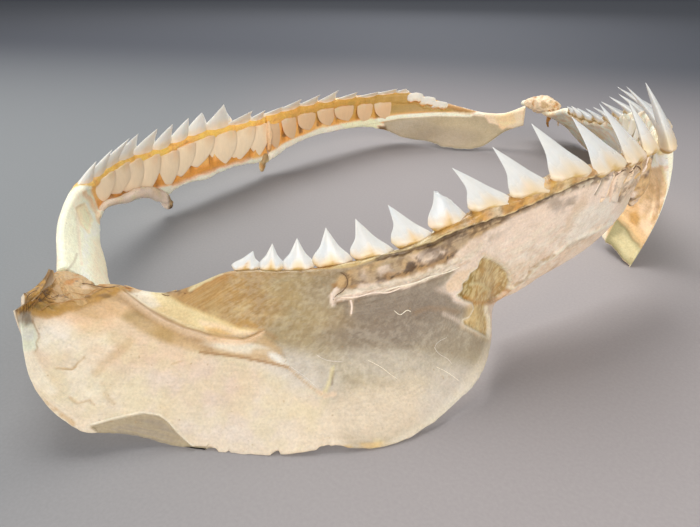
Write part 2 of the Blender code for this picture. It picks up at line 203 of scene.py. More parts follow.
# The four halves. Plan: x and distance from the midline, in mm, from the front end to the joint.
# Sections: margin (distance along, height), free edge (distance along, out, height), belly,
# drift, thickness at the margin and at the edge. Teeth: distance along, width, height, lean to
# the joint, lean inwards.
lowerFan = [
    (90.5, 57.2, 88.5, 12.5, 8.0, -1.0, 0.0, 6.0, 2.0),
    (97.0, 54.8, 97.3, 23.4, 6.0, -1.5, 0.0, 6.0, 2.0),
    (103.5, 52.4, 106.5, 29.8, 4.0, -2.0, 0.0, 6.0, 2.0),
    (119.0, 46.0, 128.0, 41.8, 0.3, -2.0, 0.0, 5.5, 2.0),
    (138.0, 42.0, 146.0, 42.2, 2.2, -1.0, 0.0, 5.5, 2.0),
    (154.5, 40.0, 163.0, 42.9, 0.3, 0.0, 0.0, 5.5, 2.0),
    (176.0, 40.0, 187.5, 39.5, 0.6, 2.0, 0.0, 5.0, 2.0),
    (197.0, 32.5, 203.0, 38.5, 5.0, 4.0, 0.0, 4.5, 2.0),
    (214.0, 34.5, 216.0, 39.6, 8.0, 5.0, 0.0, 5.0, 2.2),
    (227.0, 34.0, 230.0, 32.4, 20.0, 6.0, 0.0, 6.0, 2.6),
    (238.0, 35.0, 238.0, 15.8, 39.0, 3.0, 0.0, 6.0, 3.2),
]
lowerTeeth = [
    (2.5, 11.0, 15.5, 1.5, 12.5), (15.0, 15.5, 16.5, 2.5, 17.5), (34.4, 20.0, 14.2, 4.0, 17.0),
    (55.5, 17.8, 13.6, 7.4, 15.5), (71.5, 17.0, 12.0, 9.6, 12.5), (87.2, 16.6, 10.2, 10.9, 9.5),
    (102.4, 14.0, 10.3, 3.5, 6.0), (114.5, 14.8, 10.1, 7.4, 7.0), (128.7, 14.2, 10.3, 5.2, 5.0),
    (142.2, 12.9, 10.5, 1.9, 3.5), (153.8, 10.7, 8.7, 0.0, 2.5), (162.8, 8.2, 7.0, -0.7, 2.0),
    (171.2, 9.0, 4.3, -2.6, 1.5),
]

# Marks on the near plate, as it looks in the photo, in pixels.
gumBorder = [(205, 279), (225, 273), (250, 269), (300, 270), (340, 268.5), (352, 268), (363, 264),
    (378, 259), (391, 255), (409, 251), (420, 247), (432, 244), (443, 237.5), (455, 233), (472, 227),
    (489, 221.5), (507, 216), (520, 211), (557, 194), (590, 179), (623, 169), (640, 156)]
gumTop = [(668, 140), (650, 120), (590, 148), (520, 176), (460, 196), (400, 228), (340, 242), (215, 255),
    (198, 272)]
grooveHook = [(341, 272), (347, 276), (348.5, 281), (346, 287), (340, 292), (335, 298)]
groove = [(352, 287), (369, 286), (382, 283), (387, 278), (400, 275), (409, 270), (412, 264), (422, 267),
    (430, 265), (442, 259), (452, 255)]
membrane = [(337, 299), (357, 294), (380, 290), (403, 285), (420, 280), (438, 273), (449, 268.5),
    (460, 264), (472, 258), (480, 252), (486, 245), (490, 236)]
windowShape = [(484, 256), (493, 259), (503, 266), (509, 274), (510.5, 283), (507, 292), (498, 299),
    (487, 304), (486, 309), (488, 316), (489.5, 328), (488, 338), (477, 332), (464, 325), (462, 320),
    (470, 317), (474, 309), (473, 304), (463, 300), (457, 295), (462, 290), (462, 283), (468, 279),
    (470, 273), (478, 268), (480, 260)]
crest = [(120, 288), (129, 294.5), (140, 303.5), (153, 312.4), (170, 321.3), (185, 327.7), (200, 331.5),
    (212, 335.5)]
cupEdge = [(212, 335.5), (228, 337.5), (244, 338.5), (256, 333.5), (262, 329.5)]
ridgeFoot = [(200, 352), (225, 355), (246, 358), (269, 362.8), (288, 367)]
foldLine = [(510, 289), (525, 279), (538, 265), (552, 257), (570, 243), (590, 233), (611, 223)]
farTissue = [(530, 100), (580, 100), (660, 100), (664, 140), (600, 168), (560, 160), (530, 130)]
shelfEnd = [(195, 318), (215, 322), (240, 330), (260, 331), (248, 338), (225, 337), (205, 331)]
frontMiddle = [(500, 262), (560, 222), (612, 196), (616, 222), (560, 262), (512, 296)]
jointCorner = [(36, 264), (56, 262), (56, 284), (46, 298), (28, 298), (26, 280)]
tornTissue = [(353, 268), (391, 256), (432, 245), (472, 228), (500, 220), (488, 243), (470, 258),
    (452, 268), (430, 276), (405, 282), (385, 288), (350, 293)]


def moved(path, across, down):
    return [(x + across, y + down) for x, y in path]


# A mark is a patch, a line or a blot (x, y, half length, half width, slope in degrees) in photo pixels,
# with its tint and how much of it. More: wide and soft, the stroke and its border in pixels; rough and
# grain, how far its border wavers and in what size; wash and crumb, the size of gaps in it; streak, the
# slope, length and breadth of strands; lift in mm; dull, the roughness it is brought to.
def patch(outline, tint=None, amount=1.0, **more):
    return dict(patch=outline, tint=tint, amount=amount, **more)


def line(path, tint=None, amount=1.0, **more):
    return dict(line=path, tint=tint, amount=amount, **more)


def blot(place, tint=None, amount=1.0, **more):
    return dict(blot=place, tint=tint, amount=amount, **more)


rightLower = dict(
    name="rightLower", node="lower_jaw_right", side=-1, outside=1, seat=2.2, faces=(430, 150, 70),
    plan=[(119.5, 4.5), (109.5, 50), (79.5, 100), (50.9, 131), (11.0, 165), (-20.0, 187.5)],
    sections=[
        (0.0, 65.6, 1.0, -4.5, 34.0, 0.5, 0.5, 8.0, 4.5),
        (21.5, 64.0, 17.5, -6.5, 25.5, 2.0, 0.0, 8.5, 4.0),
        (40.0, 64.8, 35.0, -7.5, 21.5, 2.5, 0.0, 8.5, 3.5),
        (58.0, 65.0, 52.5, -7.5, 18.5, 2.5, 0.0, 8.0, 3.0),
        (72.0, 60.8, 68.0, -5.0, 15.5, 2.0, 0.0, 7.0, 2.6),
        (84.0, 58.4, 79.5, -2.0, 13.5, 1.5, 0.0, 6.5, 2.4),
    ] + lowerFan,
    teeth=lowerTeeth,
    gum=0.04, tissue=0.60, tissueTint="tan", nextFrom=1, base="cream", paintedLight=0.83,
    bites=[(206, 216, 0.02), (226, 229, 0.012), (272, 279, 0.016), (318, 330, 0.008)],
)
rightLower["marks"] = [
    # clear, see-through part of the fan: darker around its upper middle and lighter towards the bottom,
    # partly its own see-through grey and partly painted shade on the steep upper part
    patch([(180, 292), (215, 270), (300, 262), (400, 250), (458, 235), (486, 250), (470, 290), (490, 310),
        (493, 343), (485, 362), (460, 396), (432, 424), (400, 446), (350, 450), (326, 400), (300, 378),
        (286, 368), (266, 345), (262, 332), (240, 328), (212, 312)], "drab", soft=16, rough=3, grain=20),
    blot((300, 305, 110, 46, 0), "olive", 0.8),
    blot((400, 318, 86, 34, -14), "smoke", 0.95),
    blot((365, 285, 60, 26, -12), "haze", 0.6),
    blot((455, 335, 44, 26, -10), "haze", 0.6),
    blot((400, 366, 76, 17, 4), "veil", 0.5),
    blot((385, 410, 92, 32, -8), "cream", 0.9),
    blot((300, 372, 46, 22, 20), "veil", 0.75),
    blot((450, 395, 36, 26, -40), "veil", 0.7),
    patch([(225, 262), (345, 262), (348, 292), (340, 350), (280, 350), (225, 320)], "straw", 0.12, soft=24,
        streak=(-62, 26, 1.2)),
    patch([(300, 350), (360, 345), (470, 352), (440, 400), (350, 400)], "straw", 0.12, soft=24,
        streak=(30, 40, 1.3)),
    blot((330, 300, 60, 30, 0), "gold", 0.12, wash=14),
    # amber stain that runs up to the back teeth
    blot((206, 298, 62, 25, -14), "amber"),
    blot((238, 318, 44, 22, -20), "amber", 0.8),
    blot((250, 272, 44, 12, -6), "amber", 0.5),
    blot((232, 306, 34, 13, -30), "yellow", 0.45, wash=9),
    blot((196, 284, 40, 9, -20), "rust", 0.6, wash=10, rough=3),
    patch([(176, 300), (214, 280), (252, 268), (290, 280), (280, 326), (226, 332), (196, 320)], "umber",
        0.13, soft=20, streak=(-40, 12, 0.8), lift=0.04),
    patch([(176, 300), (230, 276), (280, 280), (280, 320), (236, 332), (188, 316)], "yellow", 0.2, soft=20,
        streak=(-30, 16, 0.9)),
    blot((300, 268, 70, 9, 0), "brown", 0.35, wash=7),
    blot((268, 300, 22, 26, 10), "brown", 0.3, wash=6),
    blot((330, 285, 30, 16, 0), "shade", 0.25, wash=5),
    patch([(225, 262), (470, 250), (490, 340), (340, 420), (290, 366), (225, 320)], "umber", 0.1, soft=24,
        crumb=1.3),
    patch([(225, 262), (470, 250), (490, 340), (340, 440), (290, 366), (225, 320)], "ivory", 0.14, soft=24,
        crumb=1.1),
    line([(236, 326), (246, 322), (255, 326)], "mustard", 0.6, soft=3, rough=1.5),
    line([(395, 446), (430, 424), (460, 396), (484, 362), (493, 343)], "ivory", 0.6, wide=3, soft=9),
    patch([(375, 440), (405, 432), (435, 418), (448, 412), (430, 430), (402, 448), (372, 450)], "yellow",
        0.8, soft=7, wash=9),
    line([(340, 450), (352, 447), (366, 446), (384, 444)], "gold", 0.5, soft=4, rough=2, grain=3, wash=3),
    # opaque left part
    patch([(48, 314), (100, 303), (150, 328), (205, 356), (190, 378), (120, 366), (55, 350)], "peach", 0.9,
        soft=26),
    blot((82, 318, 46, 14, -4), "flesh", 0.7),
    blot((54, 336, 26, 18, 0), "white", 0.7),
    patch([(95, 375), (135, 352), (200, 362), (260, 372), (250, 420), (180, 412), (110, 405)], "pink", 0.8,
        soft=24, wash=22),
    patch([(140, 372), (230, 368), (300, 385), (320, 440), (240, 450), (180, 430), (170, 400)], "chalk",
        0.8, soft=26, wash=26),
    patch([(70, 338), (110, 334), (114, 350), (100, 366), (72, 360)], "ivory", 0.8, soft=12, wash=9),
    patch([(60, 370), (105, 360), (104, 398), (84, 404), (60, 392)], "ivory", 0.7, soft=12, wash=9),
    patch([(30, 322), (130, 318), (260, 366), (330, 400), (300, 452), (110, 430), (40, 395)], "straw", 0.35,
        soft=10, wash=5, rough=3),
    # shelf above the crest, ridge band below it
    patch([(122, 288), (140, 281), (165, 292), (182, 303), (206, 313), (238, 327), (262, 331), (246, 339),
        (225, 337), (205, 332), (185, 326), (165, 316), (146, 305)], "yellow", soft=5, lift=-1.6),
    patch([(126, 289), (140, 283), (150, 290), (160, 304), (150, 306), (138, 298)], "ivory", soft=5),
    patch([(130, 290), (160, 300), (200, 318), (240, 330), (244, 338), (205, 332), (165, 316)], "tan", 0.35,
        soft=5, wash=6, rough=2),
    patch([(150, 286), (166, 294), (184, 304), (200, 312), (184, 322), (164, 310), (146, 298)], "yellow",
        0.4, soft=6, streak=(32, 18, 1.2)),
    patch(shelfEnd, "yellow", 0.9, soft=6),
    patch(shelfEnd, "apricot", 0.8, soft=5),
    patch([(202, 324), (222, 328), (232, 334), (216, 336), (204, 331)], "gold", 0.6, soft=5, wash=5),
    patch([(96, 296), (110, 284), (122, 289), (140, 304), (166, 320), (205, 334), (246, 339), (266, 336),
        (282, 350), (288, 366), (250, 360), (205, 353), (172, 345), (140, 330), (112, 314)], "tan", 0.75,
        soft=7, rough=2.5, grain=10, lift=0.7),
    patch([(112, 298), (126, 300), (150, 320), (176, 332), (172, 344), (140, 330), (118, 314)], "moss", 0.6,
        soft=9, wash=8, rough=2),
    line([(118, 296), (140, 309), (164, 322), (190, 336), (210, 345)], "brown", 0.5, wide=4, soft=8,
        rough=3, grain=6),
    blot((170, 335, 18, 9, 18), "honey", 0.4, rough=3, grain=4),
    patch([(176, 330), (210, 338), (250, 342), (268, 350), (240, 352), (200, 346)], "peach", 0.4, soft=6,
        streak=(14, 24, 1.4)),
    # painted highlights on the ridge band: a soft ivory one along it and a white one near its right end
    blot((240, 347.5, 34, 6, 8), "ivory", 0.95, lift=0.5, rough=1.5),
    line([(256, 352), (268, 354), (276, 358)], "tan", 0.6, wide=3, soft=5, rough=1.5),
    blot((278, 359, 12, 4, 27), "white", lift=0.4, rough=1.0),
    # the dark line along the crest's edge is a dent painted dark as shade
    line(crest, "brown", 0.95, wide=1.2, soft=1.2, lift=-0.5),
    line(moved(crest, 0, 4), "peach", 0.5, wide=3, soft=4, lift=0.7),
    line(cupEdge, "tan", 0.8, wide=1.0, soft=2.4, lift=-0.3),
    line([(256, 334), (263, 331), (270, 334), (276, 338)], "brown", 0.5, wide=1.0, soft=3, rough=1.5,
        grain=3),
    line(moved(cupEdge, -1, 4), "flesh", 0.6, wide=2.5, soft=4, lift=0.6),
    line(ridgeFoot, "brown", 0.85, wide=1.0, soft=1.4, lift=-0.4),
    line([(287, 367), (300, 378), (312, 388), (322, 394)], "tan", 0.6, wide=1.0, soft=1.6, lift=-0.3),
    line([(333, 368), (331, 378), (327, 388), (324, 394)], "straw", 0.8, wide=1.6, soft=2.4, lift=0.4),
    line([(334, 372), (332, 384)], "umber", 0.5, wide=0.8, soft=1.4),
    line([(318, 392), (326, 396), (334, 394)], "peach", 0.8, soft=3),
    # gum, its dark border, the torn groove and the tissue between
    patch([(353, 268), (391, 256), (432, 245), (472, 228), (520, 212), (560, 196), (623, 172), (655, 150),
        (636, 172), (592, 190), (560, 204), (524, 222), (488, 243), (470, 258), (452, 268), (430, 274),
        (405, 280), (385, 286), (350, 291), (334, 298), (338, 278)], "tan", soft=4, rough=2),
    patch(tornTissue, "haze", 0.5, soft=6, wash=7),
    patch(tornTissue, "umber", 0.45, soft=6, crumb=2.4),
    patch([(356, 270), (400, 257), (440, 246), (452, 252), (430, 262), (400, 270), (360, 282)], "blush",
        0.8, soft=5, rough=3, grain=6, wash=6),
    patch([(452, 256), (470, 240), (500, 228), (520, 222), (500, 244), (470, 258)], "blush", 0.8, soft=6,
        rough=3),
    patch([(352, 266), (391, 256), (440, 240), (446, 248), (400, 262), (356, 274)], "olive", 0.6, soft=4,
        streak=(-18, 16, 2.0)),
    blot((442, 247, 22, 7, -24), "shade", 0.75, rough=3, grain=3, wash=3),
    blot((442, 248, 24, 9, -24), "umber", 0.55, crumb=1.4),
    patch([(440, 236), (500, 218), (520, 212), (516, 220), (480, 232), (446, 246)], "umber", 0.6, soft=3,
        streak=(-20, 10, 1.2)),
    blot((562, 203, 16, 7, -20), "umber", 0.5, crumb=1.6),
    patch(gumBorder + gumTop, "gum", rough=1.4, lift=0.3, dull=0.28),
    patch(gumBorder[10:] + gumTop[:5], "gold", 0.7, soft=3, wash=9, rough=1.5),
    patch(gumBorder[8:] + gumTop[:6], "ivory", 0.6, soft=4, wash=5, rough=2),
    patch(gumBorder[8:] + gumTop[:6], "rust", 0.45, soft=4, wash=3.4, rough=2),
    patch(gumBorder[12:] + gumTop[:4], "orange", 0.5, soft=4, wash=7, rough=2),
    patch(gumBorder[6:] + gumTop[:6], "umber", 0.3, soft=3, crumb=1.4),
    patch([(215, 264), (345, 260), (410, 244), (460, 224), (458, 232), (410, 250), (350, 267), (215, 275)],
        "straw", 0.6, soft=4, wash=9, rough=2),
    line([(232, 268), (262, 266.5), (300, 269), (330, 266), (352, 261), (376, 252), (400, 246)], "rust",
        0.7, wide=0.9, soft=1.6, rough=1.5, grain=6, lift=-0.3),
    line(moved(gumBorder[6:], 0, -1.8), "yellow", 0.8, wide=0.8, soft=1.0, lift=0.5),
    # the dark border under the raised gum: partly its own dark tissue, partly painted shade
    line(gumBorder[7:], "umber", 0.8, wide=1.4, soft=2.4, rough=2.4, grain=2.2, lift=-0.6),
    line(gumBorder[8:], "pit", 0.9, wide=1.4, soft=1.0, rough=2.4, grain=2, crumb=1.6),
    line(moved(gumBorder[9:], 0, 4), "umber", 0.7, wide=2.5, soft=4, rough=4, grain=2.4, crumb=1.6),
    line([(600, 178), (560, 197), (525, 213), (500, 222)], "umber", 0.45, wide=3, soft=4, rough=3, grain=4,
        wash=4),
    line(grooveHook, "shade", 0.7, wide=0.8, soft=2.2, rough=2, grain=2, lift=-0.2),
    line(moved(grooveHook, 4, 1), "umber", 0.5, wide=0.8, soft=1.6, rough=2.4, grain=2),
    patch([(330, 284), (342, 280), (348, 290), (340, 300), (331, 304)], "brown", soft=3, rough=3, grain=2,
        wash=2),
    line(groove, "brown", 0.7, wide=2.4, soft=4, rough=4, grain=2.2, lift=-0.2),
    line(groove, "pit", 0.9, soft=1.6, rough=4.5, grain=1.8, crumb=1.7, lift=-0.2),
    line(moved(groove, 3, -4), "umber", 0.7, rough=4, grain=2, crumb=1.6),
    patch([(405, 268), (408, 262), (414, 261), (417, 266), (412, 272), (406, 272)], "umber", soft=1.6,
        rough=1.2, grain=2),
    line([(336, 290), (331, 297), (333, 304)], "blush", wide=2.4, rough=1.5, lift=0.9),
    # lifted membrane; the hollow under it is painted darker, partly see-through grey and partly painted
    # shade, and a thin painted shadow line runs just beneath the membrane
    patch([(345, 300), (404, 290), (440, 280), (454, 286), (462, 300), (450, 318), (400, 318), (360, 324),
        (346, 316)], "smoke", 0.6, soft=12, lift=-0.4),
    line(moved(membrane, 0, 4), "umber", 0.4, soft=3, rough=2, grain=3),
    line(moved(membrane, 0, -3), "blush", 0.75, wide=7, soft=4, rough=3, grain=2.6, wash=3),
    line(membrane, "blush", wide=3.0, soft=2.6, rough=2.8, grain=2.6, lift=0.5),
    line(moved(membrane, 0, -1), "brown", 0.5, wide=5, rough=2.6, grain=2.0, streak=(-18, 5, 0.9),
        lift=-0.3),
    line(moved(membrane, 1, -4), "ivory", 0.55, wide=1.6, soft=3.4, rough=3, grain=2.4),
    line(moved(membrane[2:8], -3, 2.5), "ivory", 0.7, wide=0.8, soft=1.6, rough=2.4, grain=2, lift=0.3),
    line([(351, 300), (352, 308), (351, 314)], "peach", 0.7, wide=1.4),
    blot((452, 290, 16, 5, 8), "blush", 0.6, rough=2),
    line([(415, 312), (430, 308), (446, 309), (458, 312)], "brown", 0.25, wide=1.6, soft=3),
    line([(444, 313), (456, 319), (464, 325), (472, 329), (479, 334)], "blush", 0.55, wide=0.6, soft=3,
        rough=1.6, lift=0.2),
    # pinkish front
    patch([(446, 284), (455, 270), (470, 261), (480, 250), (486, 232), (515, 217), (557, 198), (590, 185),
        (612, 180), (640, 166), (632, 182), (626, 190), (621, 204), (617, 228), (575, 256), (550, 272),
        (520, 294), (500, 309), (497, 330), (490, 342), (487, 306), (470, 308), (455, 302)], "blush", 0.9,
        soft=5, rough=2.5, grain=8),
    patch([(500, 270), (560, 250), (600, 225), (612, 228), (560, 262), (512, 300)], "peach", 0.6, soft=8),
    patch([(486, 236), (530, 214), (590, 190), (618, 186), (606, 215), (560, 236), (520, 262), (500, 262)],
        "blush", 0.7, soft=12, wash=12),
    patch([(490, 250), (540, 225), (600, 200), (614, 214), (560, 246), (520, 276), (506, 280)], "ivory",
        0.5, soft=8, streak=(-30, 14, 2.2)),
    patch([(446, 284), (458, 272), (474, 268), (466, 278), (460, 290), (448, 292)], "peach", soft=3,
        rough=2, grain=3),
    patch([(490, 224), (508, 216), (512, 226), (500, 236), (488, 240)], "haze", 0.6, soft=8, wash=5),
    patch([(552, 198), (578, 196), (574, 208), (560, 214), (550, 208)], "smoke", 0.6, soft=8, wash=3,
        rough=3, grain=3),
    blot((575, 214, 6, 22, 30), "tan", 0.35, rough=3),
    # painted highlight along the fold's ridge
    line(foldLine, "ivory", wide=1.2, soft=2.2, lift=0.6, rough=1),
    line([(514, 285), (525, 279), (531, 269), (540, 262), (553, 255)], "brown", 0.6, wide=0.8, soft=1.6,
        lift=-0.3, rough=1.0),
    line([(520, 292), (548, 272), (575, 253), (600, 237)], "brown", 0.5, wide=0.6, soft=1.6, rough=1.6,
        wash=8),
    blot((574, 243, 12, 3, -26), "brown", 0.5, rough=2, grain=3),
    patch(frontMiddle, "brown", 0.16, soft=8, crumb=2.2),
    patch(frontMiddle, "white", 0.35, soft=8, crumb=1.6),
    # window of thin amber skin
    patch(windowShape, "moss", soft=1.6, lift=-0.9, dull=0.22, rough=0.8, grain=3),
    patch(windowShape[:14], "honey", 0.8, soft=14),
    patch(windowShape[:14], "yellow", 0.35, soft=12, wash=4),
    patch(windowShape, "shade", 0.3, soft=3, wash=3),
    patch(windowShape, "yellow", 0.5, soft=3, crumb=0.9),
    # a short painted highlight streak across the window
    line([(472, 284), (480, 283), (492, 291)], "straw", 0.6, wide=1.0, soft=1.5, lift=0.3),
    line(windowShape + windowShape[:1], "ivory", 0.8, wide=0.8, soft=1.4, lift=0.5, rough=0.8, grain=3),
    line([(466, 297), (478, 303), (488, 303), (500, 299), (509, 290)], "rust", 0.6, wide=1.4),
    # crumpled tissue by the front border, its sunk folds painted darker as shade
    line([(607, 172), (602, 184), (596, 194)], "haze", wide=1.2, lift=-0.7),
    line([(616, 172), (612, 184), (609, 196)], "brown", 0.6, wide=1.4, lift=-0.8),
    line([(612, 172), (607, 184), (603, 196)], "blush", wide=1.6, lift=0.9),
    line([(625, 170), (619, 184), (614, 200)], "peach", soft=2.5, lift=1.0),
    line([(628, 172), (625, 186), (620, 202)], "shade", 0.7, wide=1.0, soft=1.8, lift=-0.8, rough=1.2),
    patch([(612, 172), (634, 158), (652, 146), (664, 146), (652, 172), (640, 186), (626, 200)], "peach",
        0.8, soft=4, rough=3, grain=3),
    patch([(600, 178), (634, 158), (652, 146), (664, 146), (652, 172), (640, 186), (622, 200)], "umber",
        0.5, soft=6, rough=3, grain=2, crumb=1.3),
    patch([(622, 168), (640, 154), (656, 150), (650, 170), (636, 184), (628, 190)], "brown", 0.6, soft=3,
        streak=(-58, 7, 1.2), lift=0.4),
    # arch of the inner layer below the left border, set back and painted dull grey-brown as shade
    patch([(90, 426), (98, 424), (116, 418.5), (143, 413), (159, 415.5), (167, 421), (179, 434), (192, 446),
        (212, 447), (214, 456), (160, 452), (110, 446)], "drab", soft=1.2, lift=-0.9),
    patch([(104, 430), (140, 420), (160, 420), (186, 442), (150, 446)], "haze", 0.7, soft=3,
        streak=(12, 18, 1.6)),
    line([(91, 425), (116, 418), (143, 412.4), (159, 415), (167.5, 420.5), (179, 434), (192, 445.5)],
        "ivory", 0.8, wide=1.2, soft=1.6, lift=0.6),
    # stains, fibres and pores near the joint
    patch([(2, 324), (2, 280), (26, 276), (44, 286), (60, 296), (74, 303), (70, 311), (52, 314), (40, 313),
        (30, 312), (24, 324)], "mustard", soft=3, rough=3, lift=0.4),
    patch([(2, 324), (2, 280), (26, 276), (44, 286), (60, 296), (66, 306), (50, 312), (30, 309), (22, 322)],
        "umber", 0.6, soft=3, streak=(28, 8, 1.3), lift=-0.3),
    patch([(2, 312), (10, 284), (30, 280), (50, 290), (58, 300), (30, 304), (20, 312)], "pit", 0.6, soft=3,
        crumb=1.5, rough=2, grain=2),
    patch([(60, 296), (80, 272), (120, 274), (136, 286), (110, 298), (76, 306)], "umber", 0.6, soft=4,
        crumb=1.6),
    patch([(28, 306), (44, 304), (62, 308), (58, 314), (40, 313)], "moss", 0.8, soft=4),
    patch([(46, 300), (56, 282), (84, 272), (112, 276), (132, 281), (138, 290), (118, 290), (100, 298),
        (78, 305), (60, 308)], "tan", soft=4, rough=3, grain=6, lift=0.9),
    patch([(70, 300), (96, 294), (116, 296), (120, 312), (96, 320), (74, 314)], "tan", 0.8, soft=9,
        rough=2),
    patch([(66, 286), (76, 280), (92, 284), (88, 293), (70, 297), (64, 294)], "peach", 0.5, soft=5, rough=3,
        lift=0.5),
    blot((56, 290, 16, 9, -10), "amber", 0.7, rough=3),
    line([(34, 313), (58, 312), (74, 306), (92, 300), (108, 295), (122, 291)], "mustard", 0.85, wide=4,
        soft=5, rough=3, grain=4),
    line([(60, 300), (80, 299), (98, 296), (110, 297)], "shade", 0.6, soft=3, rough=2, grain=4,
        streak=(-8, 9, 1.5)),
    patch([(78, 274), (92, 273), (112, 278), (108, 292), (94, 294), (86, 284)], "rust", 0.7, soft=4,
        streak=(20, 8, 1.8), lift=0.4),
    line([(83, 274), (87, 280), (89, 286)], "shade", 0.7, wide=1.4, rough=1),
    patch([(120, 278), (130, 275), (136, 282), (130, 290), (122, 286)], "rust", 0.9, soft=3, rough=2),
    patch([(134, 282), (144, 281), (143, 289), (134, 290)], "peach", soft=3, rough=1.5),
    line([(112, 279), (128, 277), (146, 281), (164, 290), (178, 291)], "umber", 0.8, wide=2.4, soft=3,
        rough=2.5, grain=4, wash=3),
    line([(162, 289), (172, 294), (178, 296), (190, 291)], "shade", 0.8, soft=3, rough=2.5, grain=3,
        wash=3),
    line([(190, 289), (205, 281), (222, 273)], "straw", 0.8, wide=1.6, soft=2.4, rough=2, grain=4),
    patch([(18, 314), (31, 312), (34, 322), (28, 328), (18, 326)], "haze", soft=3, rough=2, grain=3),
    patch([(8, 328), (20, 325), (34, 326), (38, 336), (37, 350), (28, 354), (20, 353), (8, 346)], "sage",
        soft=5, rough=4, grain=3, lift=0.2),
    patch([(16, 330), (34, 328), (34, 350), (18, 350)], "enamel", 0.9, soft=3, wash=2.4, rough=1.5),
    line([(32, 318), (35, 326), (39, 334), (36, 342), (38, 350), (28, 358)], "brown", 0.5, wide=0.6,
        soft=1.4, rough=2, grain=2),
    patch([(14, 350), (34, 352), (44, 372), (58, 392), (50, 396), (28, 380), (14, 362)], "ivory", 0.8,
        soft=6),
    line([(13, 353), (18, 372), (27, 392)], "moss", 0.8, soft=3, rough=2, grain=3, wash=6),
    line([(25, 387), (33, 393), (42, 400), (56, 411), (74, 424)], "tan", 0.7, soft=3, rough=2, grain=3,
        wash=4),
    line([(57, 368.5), (64, 369), (71, 370), (75, 366), (83, 357)], "mustard", 0.5, wide=0.9, soft=1.6,
        rough=2, grain=3, wash=5, lift=-0.4),
    line([(130, 341), (113.5, 355), (107, 362), (97, 373)], "tan", 0.4, soft=7, rough=3, grain=4,
        lift=-0.25),
    line([(101, 384), (114, 383), (106, 388), (106, 396), (114, 402)], "tan", 0.4, wide=0.8, soft=3,
        rough=3, grain=3, wash=6, lift=-0.3),
    line([(70, 398), (76, 403), (90, 400), (94, 404)], "tan", 0.4, wide=0.8, rough=2, grain=3, lift=-0.3),
    line([(172, 364), (182, 361)], "brown", 0.35, wide=0.6, soft=1.4),
    patch([(548, 226), (600, 186), (636, 164), (634, 180), (622, 204), (614, 226), (570, 244)], "white",
        0.5, soft=12, wash=11),
    patch([(10, 330), (32, 326), (36, 348), (20, 352)], "white", 0.55, soft=5, wash=5),
    blot((100, 310, 34, 9, 0), "flesh", 0.5, wash=7),
    patch(jointCorner, "mustard", soft=3, rough=1.5),
    patch(jointCorner, "umber", 0.7, soft=4, crumb=1.6),
]

leftLower = dict(
    name="leftLower", node="lower_jaw_left", side=1, outside=1, seat=2.2, faces=(380, 100, 110),
    plan=[(123.5, 5.0), (111.0, 50), (81.5, 100), (55.5, 131), (31.0, 153), (9.0, 170)],
    sections=[
        (0.0, 65.6, 12.5, -1.0, -0.8, 7.5, 20.0, 8.0, 2.6),
        (21.5, 64.0, 20.0, -7.5, 2.6, 5.0, 11.0, 8.5, 2.4),
        (40.0, 64.8, 33.0, -14.5, 5.0, 3.0, 2.0, 8.5, 2.6),
        (58.0, 65.0, 52.5, -8.0, 17.0, 2.5, 0.0, 8.0, 2.8),
        (72.0, 60.8, 68.0, -5.0, 15.5, 2.0, 0.0, 7.0, 2.6),
        (84.0, 58.4, 79.5, -2.0, 13.5, 1.5, 0.0, 6.5, 2.4),
    ] + lowerFan[:-1] + [(238.0, 32.0, 238.0, 15.0, 31.0, 3.0, 0.0, 6.0, 3.2)],
    teeth=[
        (3.0, 18.5, 20.8, 1.5, 14.0), (19.0, 15.5, 17.0, 3.0, 20.5), (37.5, 18.0, 13.0, 4.0, 23.0),
        (56.5, 18.0, 8.5, 6.0, 17.0), (71.5, 18.0, 7.0, 9.0, 12.0), (87.2, 18.0, 5.5, 9.0, 11.0),
        (102.4, 17.0, 5.0, 7.0, 10.0), (114.5, 15.8, 4.4, 7.4, 9.0), (128.7, 15.2, 5.0, 5.2, 8.0),
        (142.2, 13.9, 4.6, 4.9, 7.0), (153.8, 11.7, 5.0, 3.0, 6.0), (162.8, 9.2, 3.0, 1.0, 5.0),
    ],
    gum=0.09, tissue=0.72, tissueTint="white", gumTint="yellow", base="ivory", paintedLight=1.2, nextFrom=1,
    thick=7.0,
)
leftLower["marks"] = [
    patch(farTissue, "white", 0.8, soft=6),
    patch(farTissue, "gold", 0.4, soft=6, wash=7),
    patch(farTissue, "mustard", 0.25, soft=6, crumb=4),
    patch([(612, 190), (628, 172), (662, 166), (671, 196), (662, 222), (648, 242), (634, 270), (606, 242)],
        "tan", 0.9, soft=4),
    patch([(620, 180), (634, 168), (640, 180), (634, 196), (622, 204)], "haze", 0.8, soft=6),
    patch([(640, 176), (664, 172), (669, 196), (660, 218), (648, 236), (640, 226), (638, 200)], "peach",
        0.7, soft=5, wash=4),
    patch([(650, 182), (666, 188), (662, 212), (650, 228), (644, 210)], "brown", 0.45, soft=4, rough=3,
        grain=2, wash=2),
    # the greenish flap under the near plate's edge: dull sedge, partly its own see-through colour, partly
    # painted shade
    patch([(604, 242), (617, 218), (628, 224), (642, 244), (648, 250), (640, 264), (632, 270), (622, 262)],
        "sedge", dull=0.35),
    patch([(612, 238), (624, 232), (640, 250), (636, 262), (626, 258)], "straw", 0.5, soft=7),
    line([(618, 216), (630, 228), (640, 242), (646, 250)], "tan", 0.7, wide=3.4, soft=3, lift=0.8,
        rough=1.5),
    patch([(629, 213), (636, 211), (640, 218), (637, 226), (630, 222)], "amber", soft=4),
    patch([(624, 200), (636, 196), (642, 212), (634, 230), (624, 216)], "orange", 0.15, soft=8),
    line([(662, 168), (670, 195), (662, 220), (648, 242), (636, 268)], "straw", 0.6, wide=1.4, soft=1.6),
    line([(604, 242), (614, 252), (624, 263), (633, 269)], "straw", wide=1.2, soft=1.6),
]

